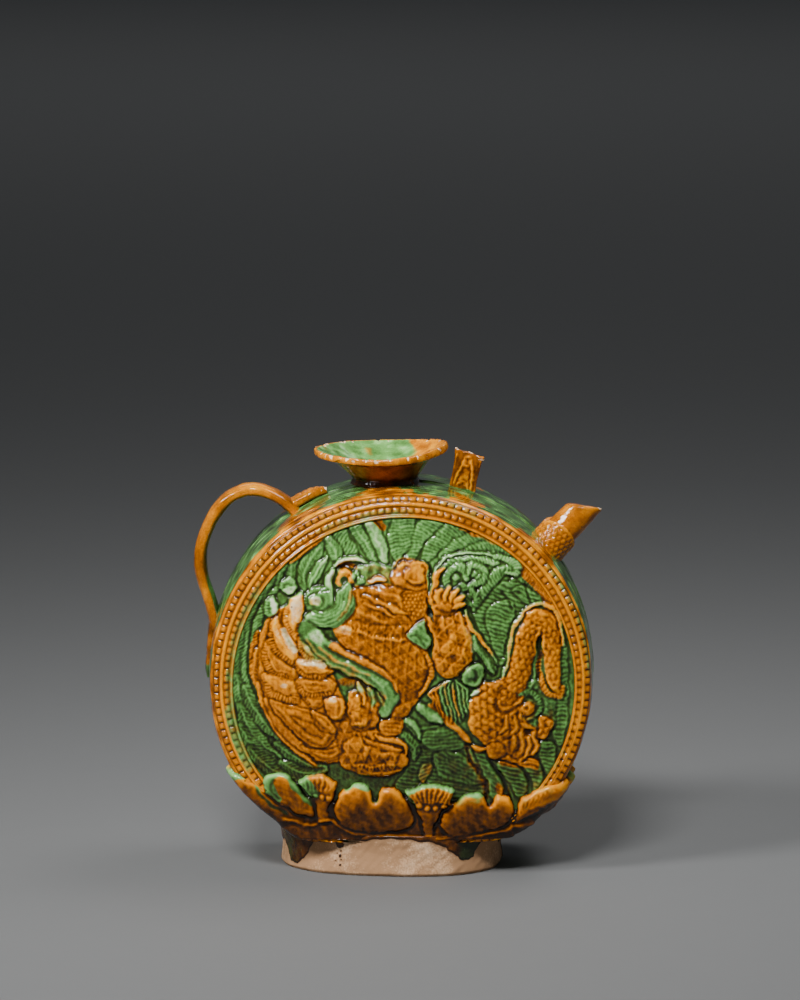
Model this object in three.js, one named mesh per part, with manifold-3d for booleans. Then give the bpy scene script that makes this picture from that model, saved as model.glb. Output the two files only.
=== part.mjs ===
import * as THREE from 'three';
import { mergeVertices } from 'three/addons/utils/BufferGeometryUtils.js';
import Module from 'manifold-3d';

// Sancai ewer: a flattened round flask with a moulded creature on each face,
// a lotus collar, an oval foot, a dish mouth, a strap handle, a spout and a lug.
// Millimetres, +Z up. The front face looks along -Y and the spout is at +X.

const wasm = await Module();
wasm.setup();

// Flask
const bodyRadius = 94.8;
const bodyHalfDepth = 44;
const bodyWall = 5;
const footSeatDepth = 15.5;
const outlineSquareShare = 0.013;
const outlineSagShare = 0.018;
const seatGap = 0.3;
const medallionRadius = 82.5;
const reliefHeight = 3.4;
const groundDrop = 1.05;
const crownFallShare = 0.262;
const crownPower = 1.86;

// Lotus collar
const lotusHeight = 30.5;
const lotusTipRise = 8;
const lotusNotchShare = -1.3;
const lotusTopStand = 2.2;
const lotusRootStand = 2;
const lotusShift = 0.6;
const petalSwell = 1.5;

// Foot
const footHeight = 17;
const footHalfLength = 55.2;
const footHalfDepth = 38.5;
const footWall = 7;
const footShift = 4.8;
const footTurn = THREE.MathUtils.degToRad(-6);

// Dish mouth
const mouthHeight = 15.8;
const mouthRadius = 32.6;
const mouthRimDepth = 3.4;
const mouthCornerRise = 2.4;
const mouthCornerShare = 0.035;
const neckRadius = 16.4;
const neckBore = 9;
const mouthWall = 4;
const neckShift = 7.6;
const mouthLean = 2.4;
const mouthTilt = THREE.MathUtils.degToRad(2);
const mouthCornerTurn = THREE.MathUtils.degToRad(17);

// Handle
const handleTopStand = 25;
const strapWidth = 13;
const strapThickness = 6;
const leafThickness = 4.4;
const tailThickness = 3;

// Spout
const spoutTipRadius = 7.6;
const spoutRootRadius = 8.5;
const spoutBore = 4.9;
const spoutLength = 31.4;
const spoutAngle = THREE.MathUtils.degToRad(49.7);
const spoutLean = THREE.MathUtils.degToRad(-6.8);
const spoutCutSlope = THREE.MathUtils.degToRad(11);
const spoutCutBack = THREE.MathUtils.degToRad(8);
const sleeveThickness = 1.1;
const sleeveLength = 13;
const sleeveArch = 6;

// Lug
const lugHeight = 19;
const lugWidth = 15;
const lugThickness = 5.4;
const lugAngle = THREE.MathUtils.degToRad(18.6);
const lugLean = THREE.MathUtils.degToRad(12);
const lugTurn = THREE.MathUtils.degToRad(-9);

// Sizes that follow from those above
const floorHeight = footHeight + seatGap;
const centreHeight = footHeight + bodyRadius * (1 + outlineSagShare) - footSeatDepth;
const cutSpan = 4 * (bodyRadius + handleTopStand);

// Steps of the meshes
const bodySteps = 96;
const crownRows = 19;
const hollowRows = 5;
const ovalSteps = 64;
const ringSteps = 40;
const tubeSteps = 24;
const strapSteps = 26;
const strapSides = 12;

// Border and edge of a face from the medallion to the seam: shares of the outline radius and of the half depth
const borderProfileShares = [
  [0.855, 0.804], [0.875, 0.823], [0.905, 0.812], [0.93, 0.806],
  [0.96, 0.795], [0.978, 0.755], [0.986, 0.68], [0.992, 0.53], [0.997, 0.3],
];

// Raised masses of the creature, in shares of the medallion radius from its centre:
// a line of points with one half width, or one point with two half widths
const creatureShares = [
  { name: 'leaves', points: [[0, 0.25]], halfWidths: [0.85, 0.7], heightShare: 0.085 },
  { name: 'wing top', points: [[-0.6, 0.1]], halfWidths: [0.25, 0.41], heightShare: 0.6 },
  { name: 'wing root', points: [[-0.53, -0.17]], halfWidths: [0.29, 0.28], heightShare: 0.64 },
  { name: 'wing low', points: [[-0.48, -0.25]], halfWidths: [0.21, 0.19], heightShare: 0.84 },
  { name: 'mane', points: [[-0.6, 0.47], [-0.42, 0.45]], halfWidths: [0.14], heightShare: 0.56 },
  { name: 'head', points: [[-0.08, 0.54]], halfWidths: [0.27, 0.19], heightShare: 0.78 },
  { name: 'snout', points: [[0.06, 0.6]], halfWidths: [0.1, 0.12], heightShare: 0.85 },
  { name: 'neck', points: [[-0.09, 0.28]], halfWidths: [0.26, 0.27], heightShare: 0.78 },
  { name: 'throat', points: [[0.02, 0.1]], halfWidths: [0.14, 0.19], heightShare: 0.6 },
  { name: 'trunk', points: [[0.32, 0.24]], halfWidths: [0.135, 0.27], heightShare: 0.85 },
  { name: 'paw', points: [[0.3, 0.51]], halfWidths: [0.12, 0.15], heightShare: 0.7 },
  { name: 'elbow', points: [[0.43, 0.07]], halfWidths: [0.07, 0.08], heightShare: 0.62 },
  { name: 'haunch', points: [[-0.2, -0.36]], halfWidths: [0.26, 0.24], heightShare: 0.64 },
  { name: 'coils', points: [[0.56, -0.21]], halfWidths: [0.18, 0.24], heightShare: 0.64 },
  { name: 'spikes', points: [[0.68, -0.22]], halfWidths: [0.15, 0.18], heightShare: 0.37 },
  { name: 'curls', points: [[0.44, 0.64]], halfWidths: [0.2, 0.1], heightShare: 0.37 },
  {
    name: 'tail', points: [[0.66, 0], [0.72, 0.22], [0.82, 0.36], [0.9, 0.2], [0.92, -0.05]],
    halfWidths: [0.075], heightShare: 0.66,
  },
  {
    name: 'band', points: [[-0.51, 0.3], [-0.38, 0.18], [-0.13, 0.08], [-0.05, -0.01], [-0.08, -0.12]],
    halfWidths: [0.07], heightShare: 0.92,
  },
];

// Petals across one face of the collar: middles, half widths and rises of their tips
const petalShares = [
  [-0.99, 0.1, 0.4], [-0.7, 0.13, 0.7], [-0.48, 0.13, 0.55], [-0.265, 0.125, 0], [-0.04, 0.12, -0.25],
  [0.17, 0.15, 0], [0.37, 0.14, -0.6], [0.585, 0.085, -0.7], [0.83, 0.15, -0.05], [0.98, 0.09, 0.2],
];

// Handle centre line: degrees from the top of the flask, and shares of the top stand
const handleRoute = [
  { degrees: -77, standShare: -0.2 }, { degrees: -73, standShare: 0.08 },
  { degrees: -69.2, standShare: 0.26 }, { degrees: -66, standShare: 0.46 },
  { degrees: -62.6, standShare: 0.65 }, { degrees: -58.8, standShare: 0.8 },
  { degrees: -54.8, standShare: 0.9 }, { degrees: -50.1, standShare: 0.98 },
  { degrees: -45.7, standShare: 1 }, { degrees: -42, standShare: 0.93 },
  { degrees: -38.9, standShare: 0.78 }, { degrees: -36.3, standShare: 0.52 },
  { degrees: -34.3, standShare: 0.2 }, { degrees: -33, standShare: -0.2 },
];

// Leaf that runs on from the strap's upper foot, and tail that runs down from its lower foot
const leafRoute = [
  { degrees: -31.5, standShare: 0.06 }, { degrees: -29.5, standShare: 0.1 },
  { degrees: -27, standShare: 0.1 }, { degrees: -24.5, standShare: 0.08 },
  { degrees: -22.8, standShare: 0.06 },
];
const tailRoute = [
  { degrees: -78, standShare: 0 }, { degrees: -82, standShare: 0.01 },
  { degrees: -86, standShare: 0.005 }, { degrees: -90, standShare: 0.025 },
  { degrees: -92.5, standShare: 0.01 },
];

const amberGlaze = new THREE.MeshStandardMaterial({ color: 0xb36a14, roughness: 0.28, metalness: 0 });
const greenGlaze = new THREE.MeshStandardMaterial({ color: 0x3f8a4c, roughness: 0.28, metalness: 0 });
const bareClay = new THREE.MeshStandardMaterial({ color: 0xcdb195, roughness: 0.9, metalness: 0 });

// Distance from the centre of the flask to its outline, at an angle from the top
function outlineRadius(angle) {
  const square = outlineSquareShare * (1 - Math.cos(4 * angle)) / 2;
  const sag = outlineSagShare * (1 - Math.cos(angle)) / 2;
  return bodyRadius * (1 + square + sag);
}

// Point in the plane of the seam, at an angle from the top and a height over the outline
function outlinePoint(angle, stand) {
  const reach = outlineRadius(angle) + stand;
  return new THREE.Vector3(reach * Math.sin(angle), 0, centreHeight + reach * Math.cos(angle));
}

// Moves every vertex of a geometry by a function that changes the vector it is given
function reshape(geometry, change) {
  const places = geometry.attributes.position;
  const place = new THREE.Vector3();
  for (let i = 0; i < places.count; i++) {
    place.fromBufferAttribute(places, i);
    change(place);
    places.setXYZ(i, place.x, place.y, place.z);
  }
  return geometry;
}

// Closed solid of a geometry, with its shared vertices merged and flat triangles left out
function solidOf(geometry) {
  const bare = geometry.clone();
  bare.deleteAttribute('normal');
  bare.deleteAttribute('uv');
  const merged = mergeVertices(bare);
  const corners = merged.index.array;
  const triangles = [];
  for (let i = 0; i < corners.length; i += 3) {
    const [a, b, c] = [corners[i], corners[i + 1], corners[i + 2]];
    if (a !== b && b !== c && c !== a) triangles.push(a, b, c);
  }
  return new wasm.Manifold(new wasm.Mesh({
    numProp: 3,
    vertProperties: new Float32Array(merged.attributes.position.array),
    triVerts: new Uint32Array(triangles),
  }));
}

// Named mesh of a solid
function meshOf(name, solid, material) {
  const result = solid.getMesh();
  const geometry = new THREE.BufferGeometry();
  geometry.setAttribute('position', new THREE.BufferAttribute(new Float32Array(result.vertProperties), 3));
  geometry.setIndex(new THREE.BufferAttribute(new Uint32Array(result.triVerts), 1));
  geometry.computeVertexNormals();
  const mesh = new THREE.Mesh(geometry, material);
  mesh.name = name;
  return mesh;
}

// Solid of all space on one side of a plane through a point
function halfSpace(point, normal) {
  const box = new THREE.BoxGeometry(cutSpan, cutSpan, cutSpan);
  box.translate(0, 0, cutSpan / 2);
  const turn = new THREE.Quaternion().setFromUnitVectors(new THREE.Vector3(0, 0, 1), normal);
  box.applyQuaternion(turn);
  box.translate(point.x, point.y, point.z);
  return solidOf(box);
}

// Height of the creature's relief at a place in shares of the medallion radius
function reliefShare(across, up) {
  let highest = 0;
  for (const mass of creatureShares) {
    let distance = Infinity;
    if (mass.points.length === 1) {
      const [[x, y]] = mass.points;
      distance = Math.hypot((across - x) / mass.halfWidths[0], (up - y) / mass.halfWidths[1]);
    }
    for (let i = 1; i < mass.points.length; i++) {
      const [ax, ay] = mass.points[i - 1];
      const [bx, by] = mass.points[i];
      const along = ((across - ax) * (bx - ax) + (up - ay) * (by - ay)) / ((bx - ax) ** 2 + (by - ay) ** 2);
      const t = THREE.MathUtils.clamp(along, 0, 1);
      const gap = Math.hypot(across - ax - t * (bx - ax), up - ay - t * (by - ay));
      distance = Math.min(distance, gap / mass.halfWidths[0]);
    }
    if (distance < 1) highest = Math.max(highest, mass.heightShare * Math.sqrt(1 - distance ** 2));
  }
  return highest;
}

// Sinks the medallion's ground on the front face and pushes it out by the creature's relief
function addRelief(place) {
  if (place.y >= 0) return;
  const across = place.x / medallionRadius;
  const up = place.z / medallionRadius;
  const inside = 1 - THREE.MathUtils.smoothstep(Math.hypot(across, up), 0.96, 1);
  place.y += groundDrop * inside - reliefHeight * reliefShare(across, up);
}

// Turns a profile of [radius, depth] points about the flask's axis, on the squared outline.
// The depth points to the front, and adjust changes each place from the flask's centre.
function faceSolid(profile, adjust, steps = bodySteps) {
  const points = profile.map(([radius, depth]) => new THREE.Vector2(radius, depth));
  const geometry = new THREE.LatheGeometry(points, steps);
  geometry.rotateX(Math.PI);
  return solidOf(reshape(geometry, (place) => {
    const stretch = outlineRadius(Math.atan2(place.x, place.z)) / bodyRadius;
    place.x *= stretch;
    place.z *= stretch;
    adjust(place);
    place.z += centreHeight;
  }));
}

// Profile of one face, grown outwards by a distance, from the seam to the crown
function faceProfile(growth, rows = crownRows) {
  const [medallionShare] = borderProfileShares[0];
  const crown = Array.from({ length: rows }, (_, row) => {
    const radiusShare = row / rows * medallionShare;
    return [radiusShare, 1 - crownFallShare * radiusShare ** crownPower];
  });
  return [...crown, ...borderProfileShares].map(([radiusShare, depthShare]) => [
    radiusShare > 0 ? radiusShare * bodyRadius + growth : 0,
    depthShare * bodyHalfDepth + growth,
  ]).reverse();
}

// Whole flask with relief on its front, grown by a distance: what neighbours are cut with
function wholeFlask(growth, adjust = addRelief) {
  const front = faceProfile(growth);
  const back = front.map(([radius, depth]) => [radius, -depth]).reverse();
  return faceSolid([...back, [bodyRadius + growth, 0], ...front], adjust);
}

// Axis of the spout, the place where it leaves the flask, and the lowest place of its mouth
const spoutRoot = outlinePoint(spoutAngle, 0);
const spoutDirection = new THREE.Vector3(
  Math.sin(spoutAngle + spoutLean), 0, Math.cos(spoutAngle + spoutLean),
);
const spoutUnder = new THREE.Vector3(spoutDirection.z, 0, -spoutDirection.x);
const spoutMouth = spoutRoot.clone().addScaledVector(spoutUnder, spoutTipRadius)
  .addScaledVector(spoutDirection, spoutLength);

// Geometry made along +Y, laid on the spout's axis with its origin at the root
function alongSpout(geometry) {
  const turn = new THREE.Quaternion().setFromUnitVectors(new THREE.Vector3(0, 1, 0), spoutDirection);
  geometry.applyQuaternion(turn);
  return geometry.translate(spoutRoot.x, spoutRoot.y, spoutRoot.z);
}

// Place of the flask's top under the neck
const neckAngle = -Math.asin(neckShift / bodyRadius);
const neckFoot = outlinePoint(neckAngle, 0);

// Cylinder upright through the flask's top, below the dish mouth
function neckHole() {
  const hole = new THREE.CylinderGeometry(neckBore, neckBore, 4 * bodyWall, tubeSteps);
  hole.rotateX(Math.PI / 2);
  return solidOf(hole.translate(neckFoot.x, 0, neckFoot.z));
}

// Half of the flask: a pressed shell, open at the seam, cut for the neck and the spout
function bodyHalf(name, turn) {
  const seamDepth = seatGap / 2;
  const wallRadius = bodyRadius - bodyWall;
  const outer = faceSolid([[0, seamDepth], [bodyRadius, seamDepth], ...faceProfile(0)], addRelief);
  const inner = faceSolid(
    [[0, -bodyWall], [wallRadius, -bodyWall], ...faceProfile(-bodyWall, hollowRows)], () => {}, ringSteps,
  );
  const floor = new THREE.Vector3(0, 0, floorHeight);
  const innerFloor = new THREE.Vector3(0, 0, floorHeight + bodyWall);
  const down = new THREE.Vector3(0, 0, -1);
  const hollow = inner.subtract(halfSpace(innerFloor, down));
  const shell = outer.subtract(halfSpace(floor, down)).subtract(hollow);
  const bore = new THREE.CylinderGeometry(spoutBore, spoutBore, 4 * bodyWall, tubeSteps);
  const cut = shell.rotate([0, 0, THREE.MathUtils.radToDeg(turn)])
    .subtract(neckHole())
    .subtract(solidOf(alongSpout(bore)));
  return meshOf(name, cut, greenGlaze);
}

// Half width of the flask at a height
function flaskHalfWidth(height) {
  const drop = centreHeight - height;
  const angle = Math.PI - Math.acos(Math.min(1, drop / outlineRadius(Math.PI)));
  return Math.sqrt(Math.max(0, outlineRadius(angle) ** 2 - drop ** 2));
}
const lotusHalfWidth = flaskHalfWidth(floorHeight + lotusHeight) + lotusTopStand;

// Bulge and rise of the petals at a place across the collar
function petalAt(across) {
  let bulge = 0;
  let rise = lotusNotchShare;
  for (const [middle, half, tip] of petalShares) {
    const distance = Math.abs(across / lotusHalfWidth - middle) / half;
    if (distance < 1) {
      bulge = Math.max(bulge, Math.sqrt(1 - distance ** 2));
      rise = Math.max(rise, tip + (lotusNotchShare - tip) * distance ** 4);
    }
  }
  return { bulge, rise };
}

// Swells the flask into the collar: a little nearer towards the foot, shifted to the spout's side,
// and rounded over each petal
function swellLotus(place) {
  const depthBelowEdge = floorHeight + lotusHeight - centreHeight - place.z;
  const lower = THREE.MathUtils.clamp(depthBelowEdge / lotusHeight, 0, 1);
  const wider = (lotusRootStand - lotusTopStand) * lower / flaskHalfWidth(floorHeight);
  if (lower > 0) place.y -= petalSwell * petalAt(place.x).bulge * Math.sign(-place.y);
  place.x = place.x * (1 + wider) + lotusShift * lower;
}

// Scalloped outline of the collar's front, as a block that reaches forward from the seam
function lotusBlock() {
  const reach = 2 * lotusHalfWidth;
  const shape = new THREE.Shape();
  shape.moveTo(-reach, floorHeight);
  for (let step = 0; step <= ovalSteps; step++) {
    const across = lotusHalfWidth * (2 * step / ovalSteps - 1);
    const height = floorHeight + lotusHeight + lotusTipRise * petalAt(across).rise;
    if (step === 0) shape.lineTo(-reach, height);
    shape.lineTo(across, height);
    if (step === ovalSteps) shape.lineTo(reach, height);
  }
  shape.lineTo(reach, floorHeight);
  shape.closePath();
  const block = new THREE.ExtrudeGeometry(shape, { depth: cutSpan, bevelEnabled: false });
  block.rotateX(Math.PI / 2);
  return solidOf(block.translate(0, -seatGap / 2, 0));
}

// Half of the lotus collar: a band of petals that laps up over the flask's underside
function lotusHalf(name, turn) {
  const half = wholeFlask(lotusTopStand, swellLotus)
    .intersect(lotusBlock())
    .subtract(wholeFlask(seatGap))
    .rotate([0, 0, THREE.MathUtils.radToDeg(turn)]);
  return meshOf(name, half, greenGlaze);
}

// Oval foot: an open ring of bare clay, a little waisted, turned a few degrees from the flask
function footRing(name) {
  const inner = footHalfLength - footWall;
  const edge = footWall / 5;
  const profile = [
    [inner + edge, 0], [footHalfLength - edge, 0], [footHalfLength, edge],
    [footHalfLength - edge, footHeight / 2], [footHalfLength, footHeight - edge],
    [footHalfLength - edge, footHeight], [inner + edge, footHeight], [inner, footHeight - edge],
    [inner, edge], [inner + edge, 0],
  ].map(([radius, height]) => new THREE.Vector2(radius, height));
  const ring = new THREE.LatheGeometry(profile, ovalSteps);
  ring.rotateX(Math.PI / 2);
  const bend = 0.8;
  reshape(ring, (place) => {
    const angle = Math.atan2(place.y, place.x);
    const out = Math.hypot(place.x, place.y);
    const deep = out - footHalfLength + footHalfDepth;
    place.x = out * Math.sign(Math.cos(angle)) * Math.abs(Math.cos(angle)) ** bend;
    place.y = deep * Math.sign(Math.sin(angle)) * Math.abs(Math.sin(angle)) ** bend;
  });
  ring.rotateZ(footTurn).translate(-footShift, 0, 0);
  return meshOf(name, solidOf(ring), bareClay);
}

// Neck and dish mouth in one thrown piece: four soft corners, a lean and a tilt
function dishMouth(name) {
  const rim = mouthHeight - mouthRimDepth;
  const profile = [
    [neckBore, -bodyWall], [neckRadius, -bodyWall], [neckRadius, mouthHeight * 0.12],
    [neckRadius + (mouthRadius - neckRadius) * 0.24, mouthHeight * 0.42],
    [neckRadius + (mouthRadius - neckRadius) * 0.58, mouthHeight * 0.68],
    [mouthRadius, rim], [mouthRadius, mouthHeight - mouthRimDepth / 3],
    [mouthRadius - mouthRimDepth / 3, mouthHeight],
    [neckBore + (mouthRadius - neckBore) * 0.55, mouthHeight - mouthWall * 0.8],
    [neckBore + mouthWall, mouthHeight * 0.45], [neckBore, mouthHeight * 0.3], [neckBore, -bodyWall],
  ].map(([radius, height]) => new THREE.Vector2(radius, height));
  const dish = new THREE.LatheGeometry(profile, ringSteps);
  dish.rotateX(Math.PI / 2);
  reshape(dish, (place) => {
    const flare = THREE.MathUtils.clamp(place.z / mouthHeight, 0, 1);
    const angle = Math.atan2(place.y, place.x) - mouthCornerTurn;
    const corner = 1 + mouthCornerShare * flare * Math.cos(4 * angle);
    place.x *= corner;
    place.y *= corner;
    place.z += flare * (place.x * Math.tan(mouthTilt) + mouthCornerRise * (place.x / mouthRadius) ** 2);
    place.x -= flare * mouthLean;
  });
  dish.translate(neckFoot.x, 0, neckFoot.z);
  return meshOf(name, solidOf(dish).subtract(wholeFlask(seatGap)), amberGlaze);
}

// Smooth curve along a route over the flask's outline
function routeCurve(route) {
  return new THREE.CatmullRomCurve3(route.map(({ degrees, standShare }) => (
    outlinePoint(THREE.MathUtils.degToRad(degrees), standShare * handleTopStand)
  )), false, 'centripetal');
}

// Solid strap along a route, with a rounded section
function strapSolid(route, halfWidthAt, halfThicknessAt) {
  const curve = routeCurve(route);
  const places = [];
  for (let step = 0; step <= strapSteps; step++) {
    const t = step / strapSteps;
    const middle = curve.getPoint(t);
    const along = curve.getTangent(t);
    const outward = new THREE.Vector3(-along.z, 0, along.x);
    for (let side = 0; side < strapSides; side++) {
      const turn = 2 * Math.PI * side / strapSides;
      const wide = Math.sign(Math.cos(turn)) * Math.abs(Math.cos(turn)) ** 0.7;
      const thick = Math.sign(Math.sin(turn)) * Math.abs(Math.sin(turn)) ** 0.7;
      const place = middle.clone().addScaledVector(outward, thick * halfThicknessAt(t));
      place.y += wide * halfWidthAt(t);
      places.push(place);
    }
  }
  places.push(curve.getPoint(0), curve.getPoint(1));
  const corners = [];
  const last = strapSteps * strapSides;
  for (let side = 0; side < strapSides; side++) {
    const next = (side + 1) % strapSides;
    for (let base = 0; base < last; base += strapSides) {
      corners.push(base + side, base + next, base + strapSides + side);
      corners.push(base + next, base + strapSides + next, base + strapSides + side);
    }
    corners.push(places.length - 2, next, side, places.length - 1, last + side, last + next);
  }
  const geometry = new THREE.BufferGeometry().setFromPoints(places);
  geometry.setIndex(corners);
  return solidOf(geometry);
}

// The strap itself, widening at both feet, grown by a distance
function handleSolid(growth) {
  const flare = (t) => 1 + 0.3 * Math.abs(2 * t - 1) ** 6;
  return strapSolid(
    handleRoute,
    (t) => strapWidth / 2 * flare(t) + growth,
    (t) => strapThickness / 2 + growth,
  );
}
function handleStrap(name) {
  return meshOf(name, handleSolid(0).subtract(wholeFlask(seatGap)), amberGlaze);
}

// Flat end that runs on from a foot of the strap over the flask, narrowing to its tip
function handleEnd(name, route, thickness, tipShare) {
  const taper = (t) => 1 - (1 - tipShare) * t ** 1.5;
  const end = strapSolid(
    route,
    (t) => strapWidth / 2 * taper(t),
    (t) => thickness / 2 * taper(t) ** 0.5,
  );
  return meshOf(name, end.subtract(wholeFlask(seatGap)).subtract(handleSolid(seatGap)), amberGlaze);
}

// Tube of the spout, cut slantwise at its mouth
function spoutTube(name) {
  const root = -spoutLength / 3;
  const profile = [
    [spoutBore, root], [spoutRootRadius, root], [spoutRootRadius, 0], [spoutTipRadius, spoutLength],
    [spoutTipRadius, 2 * spoutLength], [spoutBore, 2 * spoutLength], [spoutBore, root],
  ].map(([radius, height]) => new THREE.Vector2(radius, height));
  const tube = alongSpout(new THREE.LatheGeometry(profile, tubeSteps));
  const up = new THREE.Vector3(
    Math.sin(spoutCutSlope), Math.sin(spoutCutBack), Math.cos(spoutCutSlope),
  ).normalize();
  const solid = solidOf(tube).subtract(halfSpace(spoutMouth, up)).subtract(wholeFlask(seatGap));
  return meshOf(name, solid, amberGlaze);
}

// Moulded sleeve round the spout's root, with an arched end on the front and the back
function spoutSleeve(name) {
  const inner = spoutRootRadius + seatGap;
  const outer = inner + sleeveThickness;
  const root = -spoutLength / 3;
  const profile = [
    [inner, root], [outer, root], [outer, sleeveLength / 2], [outer, sleeveLength],
    [inner, sleeveLength], [inner, root],
  ].map(([radius, height]) => new THREE.Vector2(radius, height));
  const sleeve = new THREE.LatheGeometry(profile, tubeSteps);
  reshape(sleeve, (place) => {
    const facing = Math.abs(place.z) / Math.hypot(place.x, place.z);
    if (place.y > 0) place.y += (facing - 1) * sleeveArch * place.y / sleeveLength;
  });
  const solid = solidOf(alongSpout(sleeve)).subtract(wholeFlask(seatGap));
  return meshOf(name, solid, amberGlaze);
}

// Upright lug on the shoulder: the stump of a strap, a little wider at its top
function shoulderLug(name) {
  const top = lugWidth / 2;
  const root = top * 0.9;
  const shape = new THREE.Shape();
  shape.moveTo(-root, -bodyWall);
  shape.lineTo(root, -bodyWall);
  shape.lineTo(root, 0);
  shape.quadraticCurveTo(root * 0.96, lugHeight / 2, top, lugHeight * 0.94);
  shape.lineTo(-top * 0.8, lugHeight);
  shape.lineTo(-top, lugHeight * 0.9);
  shape.quadraticCurveTo(-root * 0.96, lugHeight / 2, -root, 0);
  shape.closePath();
  const slab = new THREE.ExtrudeGeometry(shape, {
    depth: lugThickness, bevelEnabled: false, curveSegments: 6,
  });
  slab.translate(0, 0, -lugThickness / 2);
  slab.rotateX(Math.PI / 2);
  slab.rotateZ(lugTurn);
  slab.rotateY(lugLean);
  const foot = outlinePoint(lugAngle, 0);
  slab.translate(foot.x, foot.y, foot.z);
  return meshOf(name, solidOf(slab).subtract(wholeFlask(seatGap)), amberGlaze);
}

const ewer = new THREE.Group();
ewer.add(
  bodyHalf('front_body_half', 0),
  bodyHalf('back_body_half', Math.PI),
  lotusHalf('front_lotus_collar', 0),
  lotusHalf('back_lotus_collar', Math.PI),
  footRing('foot_ring'),
  dishMouth('dish_mouth'),
  handleStrap('handle_strap'),
  handleEnd('handle_upper_leaf', leafRoute, leafThickness, 0.35),
  handleEnd('handle_lower_tail', tailRoute, tailThickness, 0.45),
  spoutTube('spout_tube'),
  spoutSleeve('spout_sleeve'),
  shoulderLug('shoulder_lug'),
);

// The handle and the spout reach equally far from the origin
const handleBend = routeCurve(handleRoute).getPoints(2 * strapSteps);
const handleReach = strapThickness / 2 - Math.min(...handleBend.map((place) => place.x));
ewer.position.x = (handleReach - spoutMouth.x) / 2;

export default ewer;
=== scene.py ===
"""Sancai ewer: a flattened round flask, moulded and glazed in amber and green.

Sizes in the classes are millimetres. Meshes are built in metres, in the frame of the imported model:
+Z up, the front face looks along -Y and the spout is at +X.
"""

import logging
import math
from dataclasses import dataclass
from enum import Enum

import bpy
import numpy as np
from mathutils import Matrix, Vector


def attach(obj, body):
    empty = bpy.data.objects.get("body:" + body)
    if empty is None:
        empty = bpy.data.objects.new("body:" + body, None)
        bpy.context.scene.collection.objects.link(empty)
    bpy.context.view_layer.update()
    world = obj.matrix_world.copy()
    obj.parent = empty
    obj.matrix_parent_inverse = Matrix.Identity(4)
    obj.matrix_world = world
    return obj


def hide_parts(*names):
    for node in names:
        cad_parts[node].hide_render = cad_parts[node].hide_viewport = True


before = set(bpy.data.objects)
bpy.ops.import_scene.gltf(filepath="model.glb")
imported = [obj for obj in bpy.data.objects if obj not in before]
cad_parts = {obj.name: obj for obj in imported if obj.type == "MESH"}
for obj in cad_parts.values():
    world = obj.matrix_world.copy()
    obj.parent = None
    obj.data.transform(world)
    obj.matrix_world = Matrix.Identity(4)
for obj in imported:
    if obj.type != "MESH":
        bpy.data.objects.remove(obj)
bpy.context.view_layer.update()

log = logging.getLogger("ewer")
Array = np.ndarray
Point = tuple[float, float]
MM = 0.001


class Texture(Enum):
    """What is combed or pressed into a form of the relief."""

    SMOOTH = "smooth"
    BARBS = "barbs"
    COMB = "comb"
    STRIPES = "stripes"
    SCALES = "scales"
    DOTS = "dots"
    RINGS = "rings"
    FOLDS = "folds"
    TRIANGLES = "triangles"


def rise(value: Array, low: float = 0.0, high: float = 1.0) -> Array:
    """Smooth rise from 0 at low to 1 at high.

    Args:
        value: Numbers to rate.
        low: Where the rise starts.
        high: Where the rise ends.

    Returns:
        A share from 0 to 1 for each number.
    """
    t = np.clip((value - low) / (high - low), 0.0, 1.0)
    return t * t * (3.0 - 2.0 * t)


def hump(value: Array, half: float, power: int = 2) -> Array:
    """Soft bump: 1 where the value is 0, fading over the half width."""
    return np.exp(-((value / half) ** power))


def squared(wave: Array, power: float) -> Array:
    """Sine or cosine raised to a power with its sign kept, which squares off a circle."""
    return np.sign(wave) * np.abs(wave) ** power


def round_angles(count: int) -> Array:
    """Evenly spaced angles once round."""
    return np.arange(count) * math.tau / count


def path(*hundredths: float) -> tuple[Point, ...]:
    """Points in shares of a unit, from a run of hundredths with two for each point."""
    shares = [number / 100 for number in hundredths]
    return tuple(zip(shares[::2], shares[1::2]))


def smooth_line(points: Array, count: int, closed: bool = False) -> Array:
    """Smooth curve through points.

    Args:
        points: Knots, first axis along the curve.
        count: How many places to return.
        closed: Whether the curve runs back to its first knot.

    Returns:
        Places along the curve, with the same trailing axes as the knots.
    """
    knots = np.asarray(points, float)
    if closed:
        padded = np.concatenate([knots[-1:], knots, knots[:2]])
    else:
        padded = np.concatenate([2 * knots[:1] - knots[1:2], knots, 2 * knots[-1:] - knots[-2:-1]])
    spans = len(padded) - 3
    place = np.linspace(0, spans, count)
    index = np.minimum(place.astype(int), spans - 1)
    t = (place - index).reshape((-1,) + (1,) * (knots.ndim - 1))
    a, b, c, d = (padded[index + k] for k in range(4))
    return 0.5 * (2 * b + (c - a) * t + (2 * a - 5 * b + 4 * c - d) * t**2 + (3 * b - 3 * c + d - a) * t**3)


def wobble(places: Array, size: float, seed: int) -> Array:
    """Smooth unevenness of hand work.

    Args:
        places: Coordinates, last axis across, up or depth.
        size: Rough width of one bump, in the units of the places.
        seed: Number that fixes the pattern.

    Returns:
        Values of about -1 to 1.
    """
    draw = np.random.default_rng(seed)
    total = np.zeros(places.shape[:-1])
    for _ in range(7):
        way = draw.normal(size=places.shape[-1])
        way *= math.tau / (2 * size) * draw.uniform(0.6, 1.6) / np.linalg.norm(way)
        total += np.sin(places @ way + draw.uniform(0, math.tau))
    return total / 3.5


def blurred(field: Array, spread: float) -> Array:
    """Gaussian blur of a field, with the spread in cells."""
    rows = np.fft.fftfreq(field.shape[0])[:, None]
    columns = np.fft.rfftfreq(field.shape[1])[None, :]
    damp = np.exp(-2 * (math.pi * spread) ** 2 * (rows**2 + columns**2))
    return np.fft.irfft2(np.fft.rfft2(field) * damp, field.shape)


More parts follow.
